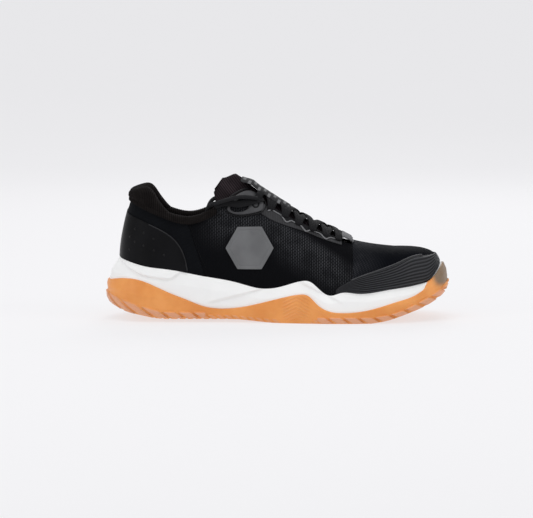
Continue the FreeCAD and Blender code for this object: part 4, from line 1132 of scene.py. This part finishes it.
def makeHeelFilmEdge():
    # thin raised edge of the heel film, drawn lighter grey than the film as a painted highlight, and its small pressed
    # studs
    for side in ("lateral", "medial"):
        bandOnShoe("heelFilmEdgeHighlight_" + side, [(-112, 84.5), (-107, 82.5), (-99, 78.5), (-88.5, 70.5), (-82.5, 61.5),
                                            (-79.5, 53), (-77.8, 44)],
                   side, 0.7, 1.0, 0.45, filmEdgePaintedHighlight, ())

    def stud(x, z, sign):
        def make(bm):
            share = sign * shareAt(x, z)
            spot = inFrame(awayFrom(x, share, 0.66))
            turn = surfaceNormal(x, share).to_track_quat("Z", "Y").to_matrix().to_4x4()
            size = Matrix.Diagonal((0.0011, 0.0011, 0.0005, 1))
            bmesh.ops.create_uvsphere(bm, u_segments=12, v_segments=8, radius=1,
                                      matrix=Matrix.Translation(spot) @ turn @ size)
        return make
    rows = [stud(x, z, sign) for sign in (-1, 1) for x, z in
            ((-125.5, 80), (-116, 77), (-107, 72), (-116, 66), (-125, 69), (-106.6, 62), (-98, 58), (-131, 73),
             (-131, 62))]
    linkMesh("heelFilmStuds", joinedShapes(rows), pipingFilm, "shoe", ())


emblem = {"x": -23.7, "z": 64.0, "across": 42.0, "corner": 0.16, "thickness": 0.7, "groove": 0.35}


def makeEmblem(side):
    # plain badge: a hexagon with rounded corners and one groove inside its edge
    sign = -1 if side == "lateral" else 1

    def place(a, b):
        turn = 2 * math.pi * a
        inSector = (turn + math.pi / 6) % (math.pi / 3) - math.pi / 6
        flat = math.cos(math.pi / 6) / math.cos(math.pi / 6 - abs(inSector))
        reach = emblem["across"] / 2 * (flat - emblem["corner"] * max(0, flat - 0.93) ** 1.2)
        radius = reach * min(b / 0.96, 1)
        x, z = emblem["x"] + radius * math.cos(turn), emblem["z"] + radius * math.sin(turn)
        groove = emblem["groove"] * bump(b, 0.80, 0.045) + 0.55 * smoothStep((b - 0.955) / 0.045)
        share = sign * shareAt(x, z)
        return awayFrom(x, share, overlays["low"] + emblem["thickness"] - groove), (x, z), groove
    piece = linkMesh("badge_" + side, mappedGrid(132, 46, place), emblemFilm, "shoe", ["side_emblem_" + side],
                     fromMiddle)
    addSolidify(piece, 0.12)


plate = {"outer": [(-42.5, 95.5), (-43, 99.5), (-39, 105.8), (-33, 110.2), (-26, 112.0), (-19, 110.2), (-13.5, 105.2),
                   (-11.2, 99.5), (-12.8, 95.6), (-20, 93.4), (-29, 92.2), (-37, 92.8)],
         "hole": [(-40.2, 96.6), (-40.4, 99.2), (-37.4, 102.2), (-33, 105.4), (-28.6, 106.2), (-25.8, 104.6),
                  (-25.0, 100.8), (-25.2, 98.6), (-26.4, 96.6), (-29.4, 95.2), (-33, 94.7), (-37.4, 94.9)],
         "thickness": 1.4}


def makePlate(side):
    # grey eyelet plate: an arch around a large opening, thickened at both edges
    sign = -1 if side == "lateral" else 1
    steps = 120
    outer, hole = closedLine(plate["outer"], steps), closedLine(plate["hole"], steps)

    def place(a, b):
        k = round(a * steps) % steps
        x, z = mix(hole[k][0], outer[k][0], b), mix(hole[k][1], outer[k][1], b)
        share = sign * shareAt(x, z)
        lip = smoothStep(min(b, 1 - b) / 0.16)
        return awayFrom(x, share, overlays["low"] + 0.5 + (plate["thickness"] - 0.5) * lip), (x, z), lip
    piece = linkMesh("eyeletPlate_" + side, mappedGrid(steps, 16, place), plateFilm, "shoe",
                     ["top_eyelet_plate_" + side], fromMiddle)
    addSolidify(piece, 0.55)
    bandOnShoe("plateOutline_" + side, [(-43.6, 95.2), (-38, 91.9), (-29, 91.2), (-20, 92.4), (-12.2, 94.8),
                                        (-9.9, 99.5), (-12.3, 104.6)], side, 0.9, 1.1, 1.0, pipingFilm, ())
    bandOnShoe("platePiping_" + side, [(-47, 99), (-43.6, 104.4), (-36.5, 110), (-29, 112.8), (-20.5, 112.6)],
               side, 1.0, 1.7, 1.5, pipingFilm, ())
    # second small eyelet: a pressed ring with a dark middle
    ring = closedLine([(-18.8 + 2.9 * math.cos(t), 100.6 + 3.1 * math.sin(t)) for t in
                       (k * math.pi / 3 for k in range(6))], 36)
    points = [awayFrom(x, sign * shareAt(x, z), 1.45) for x, z in ring + ring[:1]]
    normals = [surfaceNormal(x, sign * shareAt(x, z)) for x, z in ring + ring[:1]]
    sweptBand("eyeletRing_" + side, points, normals, 1.1, 0.7, pipingFilm, "shoe", (), 2.0)

    def cup(a, b):
        x = -18.8 + 2.7 * b * math.cos(2 * math.pi * a)
        z = 100.6 + 2.9 * b * math.sin(2 * math.pi * a)
        return awayFrom(x, sign * shareAt(x, z), 1.5 - 0.15 * (1 - b)), (x, z), 0.0
    middle = linkMesh("eyeletHole_" + side, mappedGrid(32, 6, cup), pipingFilm, "shoe", (), fromMiddle)
    addSolidify(middle, 0.1)


# webbing loops that hold the laces, with a pale tape along their scalloped edge
loops = {"start": -9.0, "finish": 55.5, "pitch": 17.2, "shallow": 0.224, "deep": 0.078,
         "offset": 1.41, "swell": 1.1, "lift": 1.4}
stayLine = smoothLine([(-14, 93), (-11, 91), (20, 78.5), (46, 68.6), (57, 65.5)])


def scallop(girth):
    part = ((girth - loops["start"] - 2.0) % loops["pitch"]) / loops["pitch"]
    valley = smoothStep(1 - abs(part - 0.86) / 0.30) if part > 0.5 else smoothStep(1 - (part + 0.14) / 0.30)
    fade = smoothStep((loops["finish"] - girth) / 8)
    return loops["shallow"] + loops["deep"] * (0.25 + 0.75 * valley) * fade + 0.02


def makeLoops(side):
    sign = -1 if side == "lateral" else 1

    def place(a, b):
        girth = mix(loops["start"], loops["finish"], a)
        top = shoe["throatHalf"] + 0.008
        share = mix(top, scallop(girth), b)
        middle = ((girth - loops["start"] - 2.0) % loops["pitch"]) / loops["pitch"]
        swell = loops["swell"] * smoothStep(1 - abs(middle - 0.4) / 0.34)
        swell *= math.sin(math.pi * clamp(b * 0.9 + 0.05, 0, 1))
        offset = loops["offset"] + swell + loops["lift"] * (1 - b) ** 2
        return awayFrom(girth, sign * share, offset), (girth, climb(girth, share)), 0.0
    piece = linkMesh("laceLoops_" + side, mappedGrid(150, 18, place), blackWebbing, "shoe", ["lace_loops_" + side],
                     fromMiddle)
    addSolidify(piece, 0.5)


    def staySpot(a, b):
        girth = mix(-13.5, 56.5, a)
        return girth, sign * mix(shoe["throatHalf"] + 0.004, shareAt(girth, stayLine(girth)), b)
    sheetOnShoe("eyestay_film_" + side, 90, 24, staySpot, 0.86, 0.74, stayFilm, ["eyestay_" + side])
    points, normals = [], []
    for k in range(161):
        girth = mix(loops["start"] + 0.5, loops["finish"], k / 160)
        share = sign * (scallop(girth) + 0.004)
        points.append(awayFrom(girth, share, 1.35))
        normals.append(surfaceNormal(girth, share))
    sweptBand("loopTape_" + side, points, normals, overlays["trimWidth"], overlays["trimThickness"], paleTrim, "shoe",
              (), 2.6)


makeToeGuard()
makeHeelFilmEdge()
for side in ("lateral", "medial"):
    makeEmblem(side)
    makePlate(side)
    makeLoops(side)
print("overlays")

# padded pieces: a closed shell is swollen by a short cloth simulation with its edges held
padding = {"frames": 20}


def swell(piece, held, pressure, cap):
    # held(point) is how firmly a point is kept, from 0 to 1
    mesh = piece.data
    before = [vert.co.copy() for vert in mesh.vertices]
    group = piece.vertex_groups.new(name="held")
    for vert in mesh.vertices:
        group.add([vert.index], held(vert.co / millimetre), "REPLACE")
    cloth = piece.modifiers.new("swell", "CLOTH")
    cloth.settings.vertex_group_mass = "held"
    cloth.settings.use_pressure = True
    cloth.settings.uniform_pressure_force = pressure
    cloth.settings.quality = 6
    cloth.settings.tension_stiffness = 12
    cloth.settings.compression_stiffness = 12
    cloth.settings.bending_stiffness = 0.4
    cloth.settings.effector_weights.gravity = 0
    cloth.collision_settings.use_collision = False
    scene = bpy.context.scene
    scene.frame_start, scene.frame_end = 1, padding["frames"]
    cloth.point_cache.frame_start, cloth.point_cache.frame_end = 1, padding["frames"]
    for number in range(1, padding["frames"] + 1):
        scene.frame_set(number)
    shaped = piece.evaluated_get(bpy.context.evaluated_depsgraph_get())
    after = [vert.co.copy() for vert in shaped.data.vertices]
    piece.modifiers.remove(cloth)
    piece.vertex_groups.remove(group)
    scene.frame_set(1)
    for vert, old, new in zip(mesh.vertices, before, after):
        move = new - old
        if move.length > cap:
            move = move.normalized() * cap
        vert.co = old + move
    mesh.update()


collar = {"height": 5.2, "legEnd": 0.36, "topEnd": 0.66, "outset": 1.5, "thickness": 0.8, "depth": 26.0, "ribs": 1.7,
          "ribHeight": 0.28, "slim": 4.6, "full": 9.4}


def collarPoint(girth, side, inward, raised, share):
    base = surfacePoint(girth, side * share)
    centreX = clamp(girth, shoe["heelCentre"], shoe["toeCentre"])
    toward = Vector((centreX - base.x, lines["ridgeSide"](centreX) - base.y, 0)).normalized()
    return base + toward * inward + Vector((0, 0, raised))


def makeCollarKnit():
    # ribbed knit rolled over the collar's edge: an outer leg, a round top and an inner leg
    reach = shoe["foamFront"] - shoe["heelEnd"]
    columns = 900
    rows = 26

    def place(a, b):
        turned = (2 * a - 1) * reach
        girth = shoe["heelEnd"] + max(abs(turned), 0.05)
        side = -1 if turned < 0 else 1
        edge = lines["collar"](girth)
        top = shareAt(girth, edge)
        front = smoothStep((shoe["foamFront"] - girth) / 16)
        depth = mix(collar["slim"], collar["full"], front)
        rib = collar["ribHeight"] * (0.5 + 0.5 * math.cos(2 * math.pi * turned / collar["ribs"]))
        out = -collar["outset"] - rib
        # along the wrap: up the outer leg, over the round top, down the inner leg
        if b < collar["legEnd"]:
            part = b / collar["legEnd"]
            height = edge - collar["height"] * (1 - part)
            share = shareAt(girth, height)
            puff = 0.9 * math.sin(math.pi * clamp(part * 0.8 + 0.12, 0, 1))
            inward, raised = out - puff, 0
        elif b < collar["topEnd"]:
            part = (b - collar["legEnd"]) / (collar["topEnd"] - collar["legEnd"])
            turn = math.pi * part
            middle, half = (depth + 0.6 + out) / 2, (depth + 0.6 - out) / 2
            share = top
            inward = middle - half * math.cos(turn) - 0.35 * math.sin(turn)
            raised = (collar["outset"] + rib) * math.sin(turn)
        else:
            part = (b - collar["topEnd"]) / (1 - collar["topEnd"])
            share = top
            inward = depth + 0.6 + 0.9 * math.sin(math.pi * part) + rib
            raised = -part * collar["height"] * 0.9
        return collarPoint(girth, side, inward, raised, share), (turned, b * 30), rib
    piece = linkMesh("collarKnit", mappedGrid(columns, rows, place), collarKnit, "shoe", ["collar_band"],
                     lambda centre: centre - Vector((-0.095, shoe["shiftY"] * millimetre, 0.1)))
    addSolidify(piece, collar["thickness"])


def makeCollarLining():
    # smooth padded lining around the heel and under the collar, fuller near the top
    reach = shoe["foamFront"] - shoe["heelEnd"]

    def innerFace(girth, share):
        height = surfacePoint(girth, share).z
        rise = smoothStep((height - lines["collar"](girth) + collar["depth"]) / 9)
        ahead = clamp((shoe["foamFront"] - girth) / 18, 0.15, 1)
        roundTop = smoothStep((lines["collar"](girth) - 2 - height) / 6)
        return -2.86 - (6.0 - 1.6) * rise * ahead * mix(0.8, 1.0, roundTop) - 0.3

    def place(a, b):
        turned = (2 * a - 1) * reach
        girth = shoe["heelEnd"] + max(abs(turned), 0.05)
        side = -1 if turned < 0 else 1
        x = clamp(outlines["outer"][0](girth), -138, 144)
        low = shareAt(girth, lines["floor"](x) + 1.9)
        high = shareAt(girth, lines["collar"](girth) - 5.5)
        closed = 1 - abs(2 * b - 1)
        share = side * mix(low, high, closed)
        face = innerFace(girth, share)
        front = b < 0.5
        offset = face - 0.7 - 0.6 * math.sin(math.pi * closed) if front else face
        return awayFrom(girth, share, offset), (turned, climb(girth, share)), 0.0
    lining = linkMesh("collarLining", mappedGrid(170, 72, place), liningCloth, "shoe", ["heel_lining"])
    swell(lining, lambda p: 1.0 if p.z < 70 else 0.35, 1.5, 0.0008)


heelTab = {"half": 64.0, "below": 4.0, "inward": 4.8, "halfWidth": 9.0, "fill": 0.85}
padTop = smoothLine([(0, 113), (20, 115), (33, 116.6), (42, 116.4), (48, 112.5), (54, 105.5), (60, 98.5), (66, 94.5)])


def makeHeelTab():
    # soft rounded roll over the collar's edge, fullest beside the heel and fading out ahead
    def place(a, b):
        turn = 2 * math.pi * b
        across = -math.cos(math.pi * a)
        turned = across * heelTab["half"]
        girth = shoe["heelEnd"] + max(abs(turned), 0.05)
        side = -1 if turned < 0 else 1
        narrow = max(0.0, 1 - abs(across) ** 6) ** 0.5
        edge = lines["collar"](girth)
        high, low = padTop(abs(turned)), edge - heelTab["below"]
        middle, half = mix(low, high, 0.5), (high - low) / 2 * mix(0.25, 1, narrow) * (narrow > 0)
        inward = heelTab["inward"] + heelTab["halfWidth"] * narrow * bulged(math.cos(turn), heelTab["fill"])
        height = middle + half * bulged(math.sin(turn), heelTab["fill"])
        spot = collarPoint(girth, side, inward, 0, shareAt(girth, min(height, edge)))
        spot.z = height
        return spot, (turned, height + inward), 0.0
    tab = linkMesh("heelTab", mappedGrid(120, 40, place), collarKnit, "shoe", ["heel_tab"])
    swell(tab, lambda p: 0.3, 2.0, 0.0008)


makeCollarKnit()
makeCollarLining()
makeHeelTab()
print("collar")

tongue = {"back": -44.5, "front": 63.0, "side": 0.40, "top": -3.36, "thickness": 6.5, "bulge": 5.8, "rearBulge": 1.9,
          "bulgeStart": -18.0, "swept": 9.0, "rearSide": 0.56, "fill": 0.85}


def tongueBulge(girth, share):
    part = smoothStep((tongue["bulgeStart"] - girth) / 15)
    ahead = smoothStep((tongue["front"] - girth) / 14)
    return (tongue["bulge"] * ahead + tongue["rearBulge"] * part) * max(0, 1 - (share / shoe["throatHalf"]) ** 2) ** 2


def makeTongue():
    # padded tongue: knit over foam, thin at its rim and quilted by two rows of stitches
    def place(a, b):
        turn = 2 * math.pi * b
        girth = mix(tongue["back"] - tongue["swept"] * abs(math.cos(turn)) ** 2.2, tongue["front"], a)
        ends = smoothStep(min(a * 16, 1)) * 0.9 + 0.1
        across = math.cos(turn)
        side = mix(tongue["rearSide"], tongue["side"], smoothStep((girth + 52) / 26))
        side *= mix(0.86, 1.0, smoothStep(a * 12))
        share = side * bulged(across, tongue["fill"])
        rim = math.sqrt(max(0.0, 1 - across ** 4)) * ends
        thick = tongue["thickness"] * rim
        upper = math.sin(turn) >= 0
        high = tongue["top"] - (tongue["thickness"] - thick) * 0.4 + tongueBulge(girth, share) * ends
        low = high - thick - tongueBulge(girth, share) * 0.35 * ends
        quilt = 0.5 * bump(abs(share), 0.15, 0.025) * smoothStep((girth + 30) / 10)
        if a in (0.0, 1.0):
            share, upper, high = share * 0.9, True, (high + low) / 2
        return awayFrom(girth, share, high - quilt if upper else low), (girth, share * 60), 0.0
    piece = linkMesh("tongue", mappedGrid(110, 84, place), tongueKnit, "tongue",
                     ["tongue_shell", "tongue_foam", "tongue_lining"])
    swell(piece, lambda p: clamp((p.x + 20) / 30, 0.25, 1.0), 2.0, 0.0012)


label = {"back": -33.0, "front": 9.5, "half": 10.5, "thickness": 1.1, "rise": 3.8, "droop": 3.6}


def makeLabel():
    # soft strip lying over the laces, its long edges hanging lower than its middle
    def place(a, b):
        x = mix(label["back"], label["front"], a)
        slope = (lines["ridge"](x + 1) - lines["ridge"](x - 1)) / 2
        normal = Vector((-slope, 0, 1)).normalized()
        across = math.cos(2 * math.pi * b)
        rim = max(0.0, 1 - across ** 6) ** 0.5 * (smoothStep(min(a, 1 - a) * 40) * 0.9 + 0.1) * (0 < a < 1)
        lift = tongue["top"] + tongueBulge(x, 0) + 0.9 + label["rise"] * smoothStep(a / 0.22) * mix(1.0, 0.76, a)
        lift += label["thickness"] / 2 * rim * math.copysign(1, math.sin(2 * math.pi * b) + 1e-9)
        lift -= label["droop"] * across ** 2
        spot = Vector((x, lines["ridgeSide"](x) + across * label["half"], lines["ridge"](x))) + normal * lift
        return spot, (a * 43, across * label["half"]), 0.0
    linkMesh("tongueLabel", mappedGrid(70, 48, place), woven, "tongue", ["tongue_label"])


makeTongue()
makeLabel()
print("tongue")

# throat: a webbing tab folded over a glossy patch
throatTab = {"back": 54.5, "front": 65.5, "half": 0.215, "thickness": 1.8, "high": 5.4, "low": 3.2}


def makeThroatTab():
    def place(a, b):
        share = mix(-throatTab["half"], throatTab["half"], b)
        girth = mix(throatTab["back"], throatTab["front"], a) + 8 * abs(share)
        lift = mix(throatTab["high"], throatTab["low"], a) - 1.2 * smoothStep(abs(2 * a - 1) * 3 - 2)
        return awayFrom(girth, share, lift), (girth, share * 60), 0.0
    tab = linkMesh("throatTab", mappedGrid(24, 30, place), tabWebbing, "shoe", ["throat_tab"], fromMiddle)
    addSolidify(tab, throatTab["thickness"])


makeThroatTab()

# laces: flat braid across the throat, each run crossing over the one below it
laces = {"rows": [-18, -5.9, 6.2, 18.3, 30.4, 42.5, 53.5], "share": 0.255, "low": 2.5, "width": 6.2, "thickness": 1.35,
         "under": 1.7, "over": 2.9}


def laceRun(name, start, finish, side, high, replaces=()):
    # one run from the loop on one side to the loop on the other, with its ends tucked under the webbing
    points, normals = [], []
    steps = 40
    for k in range(steps + 1):
        part = k / steps
        share = mix(side, -side, part) * (laces["share"] + 0.035)
        girth = mix(start, finish, smoothStep(part * 0.96 + 0.02))
        rise = math.sin(math.pi * part) ** 0.6
        height = mix(1.25, laces["low"] + high, rise)
        points.append(awayFrom(girth, share, height))
        normals.append(surfaceNormal(girth, share if abs(share) > 0.02 else math.copysign(0.02, share or 1)))
    piece = sweptBand(name, points, normals, laces["width"], laces["thickness"], laceCloth, None, replaces, 3.2)
    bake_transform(piece)
    return piece


def makeLaces():
    rows = laces["rows"]
    laceRun("laceBar", rows[-1], rows[-1], -1, laces["under"], ["lace"])
    for i in range(len(rows) - 1):
        under, over = (-1, 1) if i % 2 else (1, -1)
        laceRun("laceUnder_%d" % i, rows[i], rows[i + 1], under, laces["under"])
        laceRun("laceOver_%d" % i, rows[i], rows[i + 1], over, laces["over"])


makeLaces()

# flat lace through the plate's opening and back to the collar, beside the round free end
for side, sign in (("lateral", -1), ("medial", 1)):
    bandOnShoe("flatLace_" + side, [(-13, 103.5), (-19, 102.6), (-26, 101.4), (-33, 100.4), (-41, 101.6), (-49, 101.8),
                                    (-55, 99.2)], side, 2.9, 6.4, 1.3, laceCloth, (), 40)
print("laces")

# stitches: short threads in rows, a few faces each
stitching = {"length": 1.5, "gap": 1.0, "radius": 0.24}


def stitchRow(places, side, offset):
    # thread along places given as forward and height
    sign = -1 if side == "lateral" else 1
    spots = [awayFrom(x, sign * shareAt(x, z), offset) for x, z in openLine(places, 300)]
    lengths = [0.0]
    for before, after in zip(spots, spots[1:]):
        lengths.append(lengths[-1] + (after - before).length)
    makers = []
    pitch = stitching["length"] + stitching["gap"]
    index = 0
    for k in range(int(lengths[-1] / pitch)):
        start = k * pitch
        while lengths[index + 1] < start + stitching["length"] / 2:
            index += 1
        spot, ahead = inFrame(spots[index]), spots[index + 1] - spots[index]

        def make(bm, spot=spot, ahead=ahead):
            turn = ahead.to_track_quat("X", "Z").to_matrix().to_4x4()
            bmesh.ops.create_uvsphere(bm, u_segments=8, v_segments=5, radius=1,
                                      matrix=Matrix.Translation(spot) @ turn @ Matrix.Scale(millimetre, 4)
                                      @ Matrix.Diagonal((stitching["length"] / 2, stitching["radius"],
                                                         stitching["radius"], 1)))
        makers.append(make)
    return makers


for side in ("lateral", "medial"):
    rows = stitchRow([(-76.6, 88), (-73.5, 78), (-70, 66), (-65, 54), (-60.5, 45)], side, 0.15)
    rows += stitchRow([(-56, 88.5), (-50, 91.5), (-44, 95)], side, 0.15)
    linkMesh("seamStitches_" + side, joinedShapes(rows), threadBlack, "shoe", ())
print("stitches")
